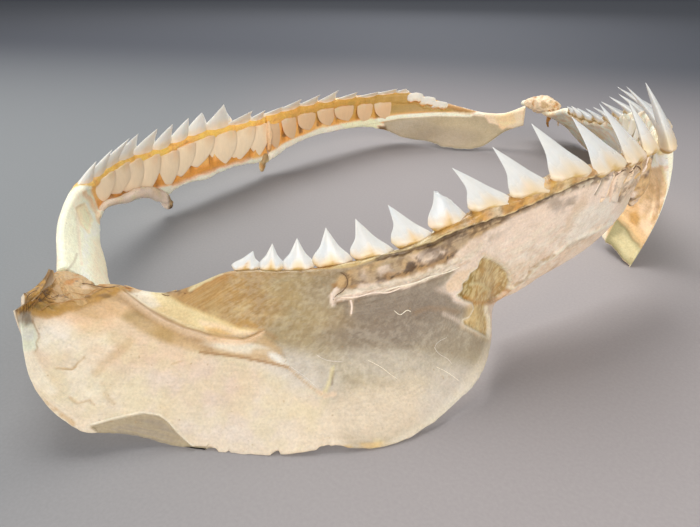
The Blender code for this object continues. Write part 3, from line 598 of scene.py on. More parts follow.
rightUpper = dict(
    name="rightUpper", node="upper_jaw_right", side=-1, outside=-1, seat=-3.0, faces=(420, 80, 110),
    plan=[(-112, 3.5), (-110.5, 50), (-100, 99), (-76, 141), (-53.5, 164.5), (-26.5, 180.5)],
    sections=[
        (-3.4, 39.0, -3.4, 0.0, 10.5, 1.0, 0.0, 7.0, 3.4),
        (13.0, 39.3, 13.0, 0.0, 11.5, 1.0, 0.0, 7.0, 3.4),
        (24.0, 39.8, 24.0, 0.0, 12.5, 1.0, 0.0, 7.0, 3.4),
        (36.0, 40.4, 35.5, 0.0, 12.5, 1.0, 0.0, 7.0, 3.4),
        (52.5, 41.0, 53.5, 0.0, 13.0, 1.5, 0.0, 7.0, 3.2),
        (67.0, 40.2, 67.0, 1.5, 13.0, 1.5, 0.0, 7.0, 3.2),
        (76.5, 39.7, 76.0, 3.0, 12.0, 0.5, 0.0, 7.0, 3.2),
        (86.0, 39.9, 86.0, 2.0, 12.5, 1.0, 0.0, 7.0, 3.2),
        (100.0, 41.6, 99.0, 0.0, 17.5, 1.5, 0.0, 7.0, 3.2),
        (120.0, 43.6, 117.0, 0.0, 21.5, 2.0, 0.0, 6.5, 3.2),
        (139.0, 42.6, 138.0, -1.0, 27.0, 2.0, 0.0, 6.0, 3.2),
        (156.0, 43.6, 154.0, -4.0, 22.0, 1.0, 0.0, 5.0, 2.8),
        (176.0, 42.0, 174.0, -10.5, 15.5, -1.0, 0.0, 3.6, 2.8),
        (190.0, 39.5, 189.0, -12.5, 13.5, -2.0, 0.0, 3.6, 2.8),
        (200.0, 37.0, 200.5, -14.0, 14.0, -2.0, 0.0, 3.8, 2.8),
        (210.0, 35.0, 210.5, -14.0, 18.0, -1.0, 0.0, 4.5, 3.4),
    ],
    teeth=[
        (4.0, 13.0, 6.6, 0.5, 10.5), (19.0, 17.5, 9.4, -1.5, 13.5), (36.0, 17.5, 17.4, 2.0, 12.0),
        (53.0, 14.5, 14.0, 4.5, 6.0), (67.0, 14.0, 13.2, 2.0, 8.0), (81.0, 16.0, 13.2, 2.0, 10.0),
        (95.5, 18.0, 13.0, 1.0, 10.0), (110.0, 17.0, 12.6, 1.0, 7.0), (122.0, 17.0, 11.6, -2.0, 7.0),
        (133.5, 15.0, 10.0, -2.0, 6.0), (144.0, 13.0, 8.0, -2.0, 5.0),
    ],
    gum=0.17, tissue=0.88, tissueTint="orange", gumTint="gold", base="blush", spread=1.22, nextCount=10,
    paintedLight=1.32, frayed=0.06,
)
rightUpper["marks"] = [
    line([(103, 214), (120, 203), (145, 195), (176, 188), (206, 176), (249, 162)], "blush", wide=5, soft=4,
        rough=2, grain=6, lift=0.9),
    line([(98, 205), (116, 196), (132, 190), (150, 184), (176, 180), (212, 167), (249, 155)], "rust", 0.75,
        wide=3, soft=5, rough=2),
    line([(98, 210), (116, 197), (149, 187), (176, 184), (212, 169), (249, 157)], "brown", 0.4, wide=1,
        rough=1.5, wash=6),
    # the strut: its left side pale sage and its right side warmer, partly its own colour and partly painted
    # light on the side facing up-left
    patch([(48, 292), (52, 245), (58, 212), (72, 184), (90, 186), (100, 214), (106, 245), (116, 294)],
        "ivory", soft=3),
    patch([(48, 292), (52, 245), (58, 212), (70, 186), (76, 216), (80, 262), (78, 294)], "sage", soft=5),
    patch([(92, 240), (104, 236), (112, 270), (114, 294), (96, 294), (90, 270)], "peach", 0.7, soft=12),
    patch([(76, 208), (85, 203), (92, 220), (89, 233), (81, 224)], "straw", 0.6, soft=3, lift=-0.3),
    line([(76, 208), (85, 203), (92, 220), (89, 233), (81, 224), (76, 208)], "tan", 0.25, wide=0.8,
        soft=1.5, rough=1.5, grain=3),
    line([(77, 254), (74, 262), (66, 272), (60, 281)], "haze", 0.5, wide=1.0, soft=1.6),
    line([(84, 192), (94, 206), (100, 222)], "tan", 0.6, soft=3, rough=2, grain=3),
    line([(76, 214), (79, 240), (82, 264)], "haze", 0.2, wide=1),
    patch([(88, 180), (104, 170), (112, 182), (104, 206), (98, 216), (92, 206)], "orange", 0.5, soft=5,
        wash=4),
    patch([(48, 292), (52, 245), (58, 212), (72, 184), (84, 188), (80, 262), (78, 294)], "sedge", 0.2,
        soft=9),
    patch([(34, 264), (52, 262), (56, 280), (56, 300), (28, 302)], "mustard", 0.9, soft=3, rough=1.5),
    patch([(34, 264), (54, 262), (58, 280), (58, 300), (28, 302)], "umber", 0.6, soft=4, crumb=1.6),
]

leftUpper = dict(
    name="leftUpper", node="upper_jaw_left", side=1, outside=-1, seat=-3.0, faces=(420, 80, 110),
    plan=[(-112, 3.5), (-109, 55), (-95.5, 108), (-68, 139), (-34, 149), (-4.5, 161)],
    sections=[
        (-3.4, 40.0, -3.4, 0.0, 9.0, 1.0, 0.0, 7.0, 3.4),
        (12.0, 40.2, 12.0, 0.0, 13.5, 1.0, 0.0, 7.0, 3.4),
        (26.0, 40.5, 26.0, 0.0, 15.5, 1.0, 0.0, 7.0, 3.4),
        (51.0, 40.0, 51.0, 0.0, 17.5, 1.0, 0.0, 7.0, 3.2),
        (76.0, 39.3, 75.0, 0.0, 16.5, 1.0, 0.0, 7.0, 3.0),
        (98.0, 38.2, 97.0, 0.0, 14.0, 1.0, 0.0, 6.5, 2.8),
        (112.0, 38.8, 110.0, -1.0, 10.5, 1.0, 0.0, 6.5, 2.4),
        (126.0, 38.8, 123.0, -6.0, 5.0, 2.0, 0.0, 6.0, 2.2),
        (142.0, 34.8, 142.0, -15.0, 4.0, 4.0, 0.0, 5.5, 2.2),
        (158.0, 30.8, 160.0, -20.0, 3.2, 5.0, 0.0, 5.0, 2.2),
        (174.0, 28.3, 177.0, -19.0, 2.4, 5.0, 0.0, 4.5, 2.2),
        (190.0, 26.2, 192.0, -11.5, 4.0, 3.0, 0.0, 4.5, 2.4),
        (206.0, 26.6, 206.0, -3.5, 14.0, 1.5, 0.0, 5.0, 3.0),
        (220.0, 33.0, 220.0, -2.0, 20.0, 1.0, 0.0, 6.0, 4.0),
    ],
    teeth=[
        (4.0, 13.0, 6.2, 0.5, 10.5), (19.0, 16.0, 8.8, 0.5, 13.0), (37.0, 17.0, 8.0, 2.0, 12.5),
        (55.0, 16.5, 8.6, 2.5, 13.0), (74.0, 17.5, 5.6, 3.5, 11.0), (94.0, 17.0, 4.8, 4.0, 10.0),
        (111.0, 14.5, 5.4, 3.5, 10.0), (123.0, 11.0, 3.6, 2.0, 7.0), (133.5, 12.0, 5.0, 0.5, 2.0),
        (143.5, 12.0, 4.8, 0.5, 2.0), (153.0, 11.0, 4.4, 0.5, 2.0),
    ],
    gum=0.24, tissue=0.82, tissueTint="orange", gumTint="gold", base="blush", spread=1.2, pebbles=8,
    nextCount=7,
    paintedLight=1.26, frayed=0.04,
)
leftUpper["marks"] = [
    blot((360, 106, 84, 15, -6), "mustard", 0.85),
    blot((420, 100, 60, 10, 4), "moss", 0.6),
    blot((330, 112, 60, 7, -12), "moss", 0.6, wash=5),
    # the grey rear plate: drab and haze, partly the thin plate's own grey and partly painted shade, as it
    # faces away from the light
    patch([(384, 122), (400, 118), (440, 113), (480, 116), (524, 122), (530, 138), (500, 152), (460, 160),
        (410, 150), (384, 136)], "drab", soft=3),
    patch([(384, 122), (420, 118), (440, 128), (420, 142), (394, 140)], "haze", 0.6, soft=10),
    line([(352, 126), (366, 123), (380, 120), (400, 116.5), (436, 114), (470, 115)], "ivory", wide=2.4,
        lift=0.6),
    patch([(340, 124), (372, 118), (384, 126), (380, 132), (352, 132)], "apricot", soft=4),
    patch([(378, 126), (386, 126), (388, 134), (380, 134)], "shade", soft=3),
    line([(384, 110), (420, 108), (450, 108), (470, 110)], "moss", 0.8, wide=4, soft=4),
    patch([(446, 98), (476, 104), (482, 112), (460, 112), (446, 108)], "brown", soft=3, rough=2, grain=3),
    patch([(480, 106), (506, 106), (532, 100), (536, 118), (516, 130), (488, 122)], "peach", soft=3,
        rough=2, grain=4),
    patch([(494, 118), (512, 112), (516, 122), (502, 130)], "flesh", soft=3, rough=2, grain=4),
    # painted shade on the lower grey plate, partly its own grey
    blot((448, 138, 34, 11, 0), "smoke", 0.6),
    line([(262, 162), (282, 150), (303, 144), (338, 130.5)], "blush", wide=3, soft=3, lift=0.5),
]


def plateThickness(section, down):
    return section[7] + (section[8] - section[7]) * math.sqrt(down)


def sheetPoints(half, margin, place, down):
    # points of the sheet that the wall stands on: place 0 to 1 along the half, down 0 at the margin
    rows = smoothRows(half["sections"], place)
    marginRun, marginHigh, edgeRun, edgeOut, edgeHigh, belly, drift, thickTop, thickEdge = rows.T
    top, _, _ = margin.at(marginRun)
    foot, along, outward = margin.at(edgeRun)
    edge = foot + outward * edgeOut[:, None]
    swell = (4 * down * (1 - down))[:, None]
    flat = top + (edge - top) * down[:, None] + (outward * belly[:, None] + along * drift[:, None]) * swell
    high = marginHigh + (edgeHigh - marginHigh) * down
    thick = thickTop + (thickEdge - thickTop) * np.sqrt(np.clip(down, 0, 1))
    return np.column_stack([flat, high]), thick, marginRun + (edgeRun - marginRun) * down


def packed(count, squeeze):
    # steps from 0 to 1 that are closer together at both ends
    even = np.linspace(0, 1, count + 1)
    return even - squeeze * np.sin(2 * math.pi * even) / (2 * math.pi)


def deselectAll():
    if bpy.context.object and bpy.context.object.mode != "OBJECT":
        bpy.ops.object.mode_set(mode="OBJECT")
    bpy.ops.object.select_all(action="DESELECT")


def choose(*pieces):
    deselectAll()
    for piece in pieces:
        piece.select_set(True)
    bpy.context.view_layer.objects.active = pieces[0]


def named(piece, name):
    piece.name = piece.data.name = name
    return piece


def cornersOf(piece):
    corners = np.zeros(len(piece.data.vertices) * 3)
    piece.data.vertices.foreach_get("co", corners)
    return corners.reshape(-1, 3)


def moveCorners(piece, places):
    # places in mm, in the jaw's own frame
    piece.data.vertices.foreach_set("co", ((places - ringCentre) * mm).ravel())
    piece.data.update()


def aboveTable(places):
    return np.column_stack([places[:, :2], np.maximum(places[:, 2], tableGap)])


def keepPaint(piece, colour, rough, lay):
    # laid on each corner: its colour, its roughness, and its place along, down and through for the grain
    for name, kind, key, values in (
        ("paint", "FLOAT_COLOR", "color", np.column_stack([np.clip(colour, 0, 1), np.ones(len(colour))])),
        ("dull", "FLOAT", "value", np.clip(rough, 0.05, 1)),
        ("lay", "FLOAT_VECTOR", "vector", lay * mm),
    ):
        piece.data.attributes.new(name, kind, "POINT").data.foreach_set(key, values.ravel())


def closeSeams(piece, gap=0.002 * mm):
    choose(piece)
    bpy.ops.object.mode_set(mode="EDIT")
    bpy.ops.mesh.select_all(action="SELECT")
    bpy.ops.mesh.remove_doubles(threshold=gap)
    bpy.ops.mesh.normals_make_consistent(inside=False)
    bpy.ops.object.mode_set(mode="OBJECT")
    bpy.ops.object.shade_smooth()
    deselectAll()
    return piece


def joined(pieces, name):
    choose(*pieces)
    bpy.ops.object.join()
    deselectAll()
    return named(pieces[0], name)


wall = dict(
    steps=801,              # places looked at to space the columns evenly
    squeezeAlong=0.3,       # how much closer the corners get at the ends and at the edges
    squeezeDown=0.4,
    reach=0.004,            # how far ahead the slope of the sheet is taken
    endRound=4,             # mm
    marginRound=0.55,       # shares of the thickness
    edgeRound=0.9,
    dull=0.52,
)


class Skin:
    # one half's wall as a grid that goes down the outer face and back up the inner one
    def __init__(self, half):
        self.half = half
        self.margin = Margin(half["plan"], half["side"])
        along, outerRows, innerRows = half["faces"]
        rows = outerRows + innerRows
        deselectAll()
        bpy.ops.mesh.primitive_grid_add(x_subdivisions=along, y_subdivisions=rows, size=1)
        self.piece = named(bpy.context.active_object, half["name"] + "Plate")
        grid = cornersOf(self.piece)
        column = np.rint((grid[:, 0] + 0.5) * along).astype(int)
        row = np.rint((grid[:, 1] + 0.5) * rows).astype(int)
        self.outer = row <= outerRows
        steps = np.linspace(0, 1, wall["steps"])
        runs = smoothRows(half["sections"], steps)[:, [0, 2]].mean(axis=1)
        even = runs[0] + (runs[-1] - runs[0]) * packed(along, wall["squeezeAlong"])
        self.place = np.interp(even, runs, steps)[column]
        outerDown, innerDown = [packed(count, wall["squeezeDown"]) for count in (outerRows, innerRows)]
        self.down = np.concatenate([outerDown, innerDown[-2::-1]])[row]
        self.shape()

    def shape(self):
        half, margin = self.half, self.margin
        low = sheetPoints(half, margin, self.place, np.ones(len(self.place)))[0]
        reach = self.down * (1 + self.ragged(photoSpots(low)[0]) * smooth(self.down, 0.7, 1.0))
        base, thick, self.run = sheetPoints(half, margin, self.place, reach)
        step = wall["reach"]
        alongWay = np.where(self.place > 0.5, -1, 1)
        downWay = np.where(self.down > 0.5, -1, 1)
        ahead = (sheetPoints(half, margin, self.place + step * alongWay, reach)[0] - base) * alongWay[:, None]
        under = (sheetPoints(half, margin, self.place, reach + step * downWay)[0] - base) * downWay[:, None]
        normal = unit(np.cross(ahead, under), 1e-9)
        outward = margin.at(self.run)[2]
        normal *= np.sign(np.sum(normal[:, :2] * outward, axis=1))[:, None]
        rows = smoothRows(half["sections"], self.place)
        length = np.hypot(rows[:, 1] - rows[:, 4], rows[:, 3])
        total = margin.lengths[-1]
        near = np.minimum.reduce([
            self.down * length / (thick * wall["marginRound"]),
            (1 - self.down) * length / (thick * wall["edgeRound"]),
            self.place * total / wall["endRound"], (1 - self.place) * total / wall["endRound"],
        ])
        self.round = np.sqrt(np.clip(1 - (1 - np.clip(near, 0, 1)) ** 2, 0, 1))
        middle = base - normal * (half["outside"] * thick / 2)[:, None]
        self.normal = normal * np.where(self.outer, 1, -1)[:, None]
        self.thick = thick
        self.places = middle + self.normal * (thick / 2 * self.round)[:, None]
        self.x, self.y = photoSpots(self.places)
        toEye = unit(np.array(view["place"]) - self.places)
        self.seen = smooth(np.sum(self.normal * toEye, axis=1), -0.12, 0.1)
        self.colour = evenly(half["base"], len(self.x))
        self.dull = np.full(len(self.x), wall["dull"])
        self.lift = np.zeros(len(self.x))

    def ragged(self, edgeX):
        # how far the free edge stands out past its plan, or is bitten back, as a share of the plate
        spot = self.place * self.margin.lengths[-1]
        flat = np.zeros(len(spot))
        wave = self.half.get("frayed", 0.012) * flatCloud(spot, flat, 9.0, 5, 4)
        wave += 0.006 * flatCloud(spot, flat, 1.6, 6, 2)
        for start, end, share in self.half.get("bites", []):
            wave -= share * smooth(edgeX, start - 1, start + 1) * (1 - smooth(edgeX, end - 1, end + 1))
        return wave

    def spot(self, x, y, lift):
        # the place that comes nearest to a photo pixel, a hidden corner counting as 50 pixels further
        nearest = np.argmin(np.hypot(self.x - x, self.y - y) + 50 * (self.seen < 0.5))
        return self.places[nearest] + self.normal[nearest] * (lift + self.lift[nearest])

    def mix(self, tint, mask):
        self.colour = tinted(self.colour, tint, mask)

    def stain(self, tint, share, size, seed, low, high, octaves=3):
        # share: how much at most, one number or one for each corner
        self.mix(tint, share * smooth(cloud(self.places, size, seed, octaves), low, high))

    def mark(self, line=None, patch=None, blot=None, tint=None, amount=1.0, wide=2.0, soft=2.0, rough=0.0,
             grain=5.0, wash=None, crumb=None, streak=None, lift=0.0, dull=None):
        # one stroke or patch, drawn on what the photo sees of the plate
        self.seed = getattr(self, "seed", 100) + 1
        x, y = self.x, self.y
        if rough:
            x = x + rough * cloud(self.places, grain, self.seed)
            y = y + rough * cloud(self.places, grain, self.seed + 400)
        if line:
            mask = 1 - smooth(lineDistance(x, y, line), wide / 2, wide / 2 + soft)
        elif blot:
            middleX, middleY, long, thin, slope = blot
            forth, aside = turned(x - middleX, y - middleY, slope, long, thin)
            mask = 1 - smooth(forth ** 2 + aside ** 2, 0.1, 1.6)
        else:
            mask = smooth(insideDistance(x, y, patch), -soft / 2, soft / 2)
        mask = mask * self.seen
        if wash:
            mask = mask * smooth(cloud(self.places, wash, self.seed + 800), -0.3, 0.35)
        if crumb:
            mask = mask * smooth(cloud(self.places, crumb, self.seed + 850, 2), 0.0, 0.16)
        if streak:
            forth, aside = turned(self.x, self.y, *streak)
            mask = mask * smooth(flatCloud(forth, aside, 1.0, self.seed + 900, 2), -0.3, 0.35)
        self.lift += lift * mask
        if tint:
            self.mix(tint, mask * amount)
        if dull:
            self.dull += (dull - self.dull) * mask

    def groundwork(self):
        # what runs along the whole half, on both faces: gum, and tissue with hollows between the next teeth,
        # darkened on the upper halves partly as painted shade
        half = self.half
        down = self.down + 0.03 * cloud(self.places, 12, 11)
        self.stain("ivory", 0.5, 34, 12, -0.1, 0.6)
        self.stain("peach", 0.5, 26, 13, 0.0, 0.7)
        self.stain("tan", 0.4, 18, 14, 0.25, 0.75, 4)
        lastTooth = half["teeth"][-1][0] + 8
        toothed = 1 - smooth(self.run, lastTooth - 6, lastTooth + 8)
        inner = np.where(self.outer & ((self.round > 0.95) | (half["outside"] > 0)), 0.0, 1.0)
        tissue = toothed * inner * (1 - smooth(down, half["tissue"] - 0.04, half["tissue"] + 0.04))
        self.mix(half["tissueTint"], tissue)
        self.stain("yellow", 0.5 * tissue, 9, 15, 0.1, 0.6)
        self.stain("rust", 0.45 * tissue, 5, 16, 0.05, 0.6)
        # The hollows between the next teeth sink into the wall; on the upper halves they are painted rust,
        # their tissue colour, and darker still as painted shade.
        shadedGaps = np.zeros(len(self.run))
        for first, second in zip(half["teeth"], half["teeth"][1:half.get("nextCount", 9)]):
            middle = (first[0] + second[0]) / 2 + 14 * (down - 0.62) ** 2 + cloud(self.places, 5, 26)
            shadedGaps = np.maximum(shadedGaps, 1 - smooth(np.abs(self.run - middle), 0.8, 3.0))
        shadedGaps *= inner * smooth(down, 0.3, 0.5) * (1 - smooth(down, 0.7, half["tissue"] - 0.02))
        if half["outside"] < 0:
            self.mix("rust", 0.9 * shadedGaps)
            self.stain("shade", 0.8 * shadedGaps, 4, 27, -0.3, 0.4)
        self.lift -= 0.8 * shadedGaps
        uneven = 0.13 * cloud(self.places, 9, 24, 4) * (half["outside"] < 0)
        gum = toothed * (1 - smooth(down + uneven, half["gum"] - 0.02, half["gum"] + 0.03))
        self.mix(half.get("gumTint", "gum"), gum)
        if half["outside"] < 0:
            self.stain("orange", 0.75 * gum, 9, 28, -0.3, 0.3)
        self.stain("rust", 0.45 * gum, 6, 17, 0.1, 0.6)
        self.stain("shade", 0.35 * gum, 3, 29, 0.2, 0.6)
        self.lift += 0.5 * gum + 0.5 * gum * cloud(self.places, 4, 18)
        self.dull += (0.3 - self.dull) * np.maximum(gum, 0.7 * tissue)
        self.dull += 0.08 * cloud(self.places, 8, 19)
        self.lift += 0.28 * cloud(self.places, 16, 20) + 0.10 * cloud(self.places, 3.5, 21)

    def finish(self):
        # fine flecks of the dried surface, finer than any mark
        fleck = cloud(self.places, 2.2, 22, 2)
        warm = np.outer(cloud(self.places, 1.4, 23, 2), (0.03, 0.05, 0.08))
        self.colour *= (1 + 0.05 * fleck)[:, None] + warm
        # The whole half is scaled by one factor as painted light: brighter for the halves that lie in shade,
        # dimmer for the near plate in full light.
        self.colour *= self.half.get("paintedLight", 1.0)
        lift = np.maximum(self.lift, -0.5 * self.thick) * np.clip(self.round * 1.5, 0, 1)
        moveCorners(self.piece, aboveTable(self.places + self.normal * lift[:, None]))
        lay = np.column_stack([self.run, self.down * 60, np.where(self.outer, 0, 50)])
        keepPaint(self.piece, self.colour, self.dull, lay)
        return closeSeams(self.piece)


# Teeth, shaped from one ball that is copied for each.
tooth = dict(
    sides=28, rings=30,
    rootShare=0.3,          # share of the rings below the gum
    rootDeep=4.0,           # mm
    nextRootDeep=1.5,
    thick=5.0,
    upperThick=4.6,
)
nextTeeth = dict(
    rightUpper=dict(rootDown=0.16, tipDown=0.80, width=1.44, thick=2.6, lean=2.0, level=-0.4, rise=0.4),
    leftUpper=dict(rootDown=0.25, tipDown=0.80, width=1.36, thick=2.6, lean=1.0, level=-0.4, rise=0.3),
    rightLower=dict(rootDown=0.10, tipDown=0.46, width=0.95, thick=4.0, lean=3.0, level=0.0, rise=1.0),
    leftLower=dict(rootDown=0.10, tipDown=0.50, width=0.66, thick=3.0, lean=5.0, level=0.0, rise=2.2),
)
brokenTooth = dict(half="rightLower", number=6, height=1.32, level=8.4, slope=0.55)
frontTeeth = dict(until=110, blade=0.15, fade=0.16, taller=1.7, back=1.3)   # lower ones, strongest at 0
wornTeeth = dict(half="rightUpper", past=2, lean=5.5, height=0.93)
pebbles = dict(inward=3.6, down=3.2)


def toothBlank():
    deselectAll()
    bpy.ops.mesh.primitive_uv_sphere_add(segments=tooth["sides"], ring_count=tooth["rings"], radius=1)
    blank = named(bpy.context.active_object, "toothBlank")
    ball = cornersOf(blank)
    share = np.arccos(np.clip(-ball[:, 2], -1, 1)) / math.pi
    turn = np.arctan2(ball[:, 1], ball[:, 0])
    return blank, share, np.cos(turn), np.sin(turn)


def copyOf(blank, name):
    copy = blank.copy()
    copy.data = blank.data.copy()
    bpy.context.scene.collection.objects.link(copy)
    return named(copy, name)


def crownWidth(rise, look):
    # a slender point on broad heels
    blade = look["blade"]
    return blade * (1 - rise ** look["shoulder"]) + (1.04 - blade) * np.exp(-(rise / look["heel"]) ** 3)


def shapeTooth(copy, ball, base, axes, size, look):
    # size: width, height, lean to the joint, lean inwards, thickness, root depth
    along, inward, up = axes
    width, height, leanAlong, leanIn, thick, rootDeep = size
    share, across, through = ball
    rise = np.clip((share - tooth["rootShare"]) / (1 - tooth["rootShare"]), 0, 1)
    sunk = np.clip(1 - share / tooth["rootShare"], 0, 1)
    slant = min(abs(leanAlong) / height, 1.2)
    taper = np.sqrt(np.clip(1 - sunk ** 2, 0, 1))
    side = across * width / 2 * crownWidth(rise, look) * taper
    reach = np.abs(side) / (width / 2)
    lobe = np.exp(-((reach - 0.62) / 0.3) ** 2)         # the root's two lobes
    level = height * rise - rootDeep * (0.45 + 0.55 * lobe) * sunk ** 0.8
    lens = np.abs(through) ** (1.5 - 0.5 * smooth(sunk, 0, 0.3))        # sharp sides above the root
    deep = np.sign(through) * lens * thick / 2 * (1 - rise) ** 0.8 * taper
    deep *= np.where(through < 0, look["outerFull"], look["innerFull"])
    # where the enamel ends, in mm: notched in the middle, a little wavy, and bulging over the root
    edge = -1.2 + look["notch"] * np.exp(-(side / (0.15 * width)) ** 2) + 0.35 * np.sin(side * 2.3 + width)
    deep += look.get("tilt", 0.0) * side / (width / 2)
    deep -= look["bulge"] * lobe * np.exp(-((level - edge - 1.1) / 1.3) ** 2) * (through < 0.2)
    if "level" in look:
        broken = look["level"] + look["slope"] * side + 0.9 * flatCloud(side, deep, 1.1, 31)
        level = np.where(rise > 0.45, np.minimum(level, broken), level)
    shift = leanAlong * rise ** (look["hook"] + 0.5 * slant)
    places = (
        base + along * (side + shift)[:, None] + inward * (deep + leanIn * rise ** 1.2)[:, None]
        + up * level[:, None]
    )
    moveCorners(copy, places)
    spot = np.column_stack([side, level * 0.4, deep]) + base
    low = 1 - smooth(level - edge, 0.0, look["fade"] * height)
    rim = 1 - smooth(np.abs(level - edge - 0.2), 0.05, 0.5)
    colour = tinted(evenly(look["crown"], len(side)), look["root"], low * look["rootTone"])
    # the crown takes a painted bluish highlight; the root takes straw, blush and gold stains, and the
    # enamel's edge amber
    for tint, share, size, seed, start, end in (
        ("pearlHighlight", look["pearlHighlight"] * (1 - low), 4, 33, -0.1, 0.6), ("straw", 0.5 * low, 3, 32, 0.0, 0.5),
        ("blush", 0.6 * low, 2.4, 35, 0.0, 0.5), ("gold", look["stain"] * 0.7 * low, 5, 36, 0.0, 0.6),
        ("amber", look["stain"] * rim, 1.6, 34, 0.0, 0.4),
    ):
        colour = tinted(colour, tint, share * smooth(cloud(spot, size, seed), start, end))
    colour = tinted(colour, look["sink"], 1 - smooth(level - edge, -0.7, 0.1))
    dull = look["dull"] + 0.2 * low
    keepPaint(copy, colour, dull, np.column_stack([side, deep, level]))
    return copy


lowerLook = dict(
    crown="enamel", pearlHighlight=0.6, root="root", rootTone=0.95, sink="gum", stain=0.6, dull=0.24, notch=2.0,
    bulge=0.8, hook=0.85, fade=0.34, blade=0.76, shoulder=1.16, heel=0.33, outerFull=0.85, innerFull=1.15,
)
upperLook = dict(
    crown="tooth", pearlHighlight=0.3, root="apricot", rootTone=0.9, sink="orange", stain=0.3, dull=0.32, notch=0.8,
    bulge=0.4, hook=1.3, fade=0.5, blade=0.8, shoulder=1.3, heel=0.4, outerFull=1.0, innerFull=1.0,
)
pebbleLook = dict(upperLook, root="white", crown="white", blade=1.04, shoulder=6.0, stain=0.9)
nextUpperLook = dict(
    upperLook, crown="petal", pearlHighlight=0.0, root="orange", rootTone=0.4, stain=0.0, dull=0.4, notch=-6.0,
    bulge=0.0, hook=1.0, blade=1.04, shoulder=3.0, heel=0.42, tilt=-1.3,
)
nextLowerLook = dict(
    nextUpperLook, crown="white", root="straw", sink="straw", blade=0.9, shoulder=1.2, tilt=0.0,
)
nextScaleLook = dict(
    nextUpperLook, crown="flesh", root="flesh", rootTone=0.6, sink="mustard", shoulder=3.6, tilt=-1.5,
)
bluntLook = dict(upperLook, blade=0.95, shoulder=1.6, heel=0.3)


def standAt(margin, run):
    # the margin's spot at a distance, the way along it and the level way inwards
    point, along, outward = [found[0] for found in margin.at(np.array([run]))]
    return point, np.array([*along, 0.0]), np.array([*-outward, 0.0])


def placeAt(sections, run):
    # the place from 0 to 1 along the sections whose margin lies at a distance
    steps = np.linspace(0, 1, 2001)
    return np.array([np.interp(run, smoothRows(sections, steps)[:, 0], steps)])


def standingTeeth(half, margin, blank, ball):
    made = []
    for number, (run, width, height, leanAlong, leanIn) in enumerate(half["teeth"]):
        point, along, inward = standAt(margin, run)
        section = smoothRows(half["sections"], placeAt(half["sections"], run))[0]
        base = np.array([*point, section[1]]) + inward * half["seat"]
        look = dict(lowerLook if half["outside"] > 0 else upperLook)
        thick = half.get("thick", tooth["thick"] if half["outside"] > 0 else tooth["upperThick"])
        if half["outside"] > 0:
            front = max(0.0, 1 - run / frontTeeth["until"])
            look["blade"] += frontTeeth["blade"] * front
            look["fade"] += frontTeeth["fade"] * front
            sink = np.array([0.0, 0.0, -frontTeeth["taller"] * front])
            base = base + sink - inward * frontTeeth["back"] * front
            height += frontTeeth["taller"] * front
        if half["name"] == wornTeeth["half"] and number > wornTeeth["past"]:
            look = dict(bluntLook)
            leanAlong -= wornTeeth["lean"]
            height *= wornTeeth["height"]
        if number >= half.get("pebbles", 99):
            look = dict(pebbleLook)
            base = base + inward * pebbles["inward"] + np.array([0.0, 0.0, -pebbles["down"]])
        if half["name"] == brokenTooth["half"] and number == brokenTooth["number"]:
            height = height * brokenTooth["height"]
            look.update(level=brokenTooth["level"], slope=brokenTooth["slope"])
        axes = (along, inward, np.array([0.0, 0.0, 1.0]))
        uneven = 0.0 if half["outside"] > 0 else 0.16 * math.sin(5.1 * number + 2 * half["side"])
        spread = half.get("spread", 1.02) * (1 + uneven)
        size = (width * spread, height * (1 - 0.6 * uneven), leanAlong * (1 + 3 * uneven), leanIn, thick,
                tooth["rootDeep"])
        made.append(shapeTooth(copyOf(blank, f"tooth{number}"), ball, base, axes, size, look))
    return closeSeams(joined(made, half["name"] + "Teeth"))


def lyingTeeth(half, margin, blank, ball):
    # the teeth that wait their turn, flat against the inner wall
    made, rule = [], nextTeeth[half["name"]]
    look = dict(rightUpper=nextUpperLook, leftUpper=nextScaleLook).get(half["name"], nextLowerLook)
    for number, (run, width, *_) in enumerate(half["teeth"][:half.get("nextCount", 9)]):
        if number < half.get("nextFrom", 0):
            continue
        place = placeAt(half["sections"], run)
        section = smoothRows(half["sections"], place)[0]
        _, along, inward = standAt(margin, run)
        ends = []
        for down in (rule["rootDown"], rule["tipDown"]):
            spot = sheetPoints(half, margin, place, np.array([down]))[0][0]
            depth = plateThickness(section, down) if half["outside"] > 0 else 0.0
            ends.append(spot + inward * (depth + rule["level"]))
        fall = ends[1] - ends[0]
        length = np.linalg.norm(fall)
        axes = (along, inward, fall / length)
        wobble = 1 + 0.14 * math.sin(3.7 * number + run)
        lean = rule["lean"] * (1 + 1.5 * math.sin(2.3 * number))
        size = (width * rule["width"] * wobble, length * (2 - wobble), lean, rule["rise"], rule["thick"],
                tooth["nextRootDeep"])
        made.append(shapeTooth(copyOf(blank, f"next{number}"), ball, ends[0], axes, size, look))
    return closeSeams(joined(made, half["name"] + "NextTeeth"))


# Pads of dried ligament: centre and half sizes in mm, as the solids have them.
pads = [
    dict(name="lowerFrontPad", node="lower_symphysis", centre=(115.5, 0, 48), half=(3.6, 6, 11.5), lumps=2.6,
         tints=("tan", "blush", "umber")),
    dict(name="upperFrontPad", node="upper_symphysis", centre=(-115.5, 0, 17), half=(2.2, 5, 12), lumps=0.6,
         tints=("blush", "straw", "orange"), taper=0.8, skew=(0.0, -7.0, 0.0)),
    dict(name="rightJointPad", node="joint_right", centre=(-15, -184, 29.0), half=(14, 7, 6.0), lumps=1.8,
         tints=("tan", "honey", "rust")),
    dict(name="leftJointPad", node="joint_left", centre=(8.5, 171.0, 34.5), half=(13.5, 6.5, 5.6), lumps=3.2,
         tints=("apricot", "tan", "rust")),
]


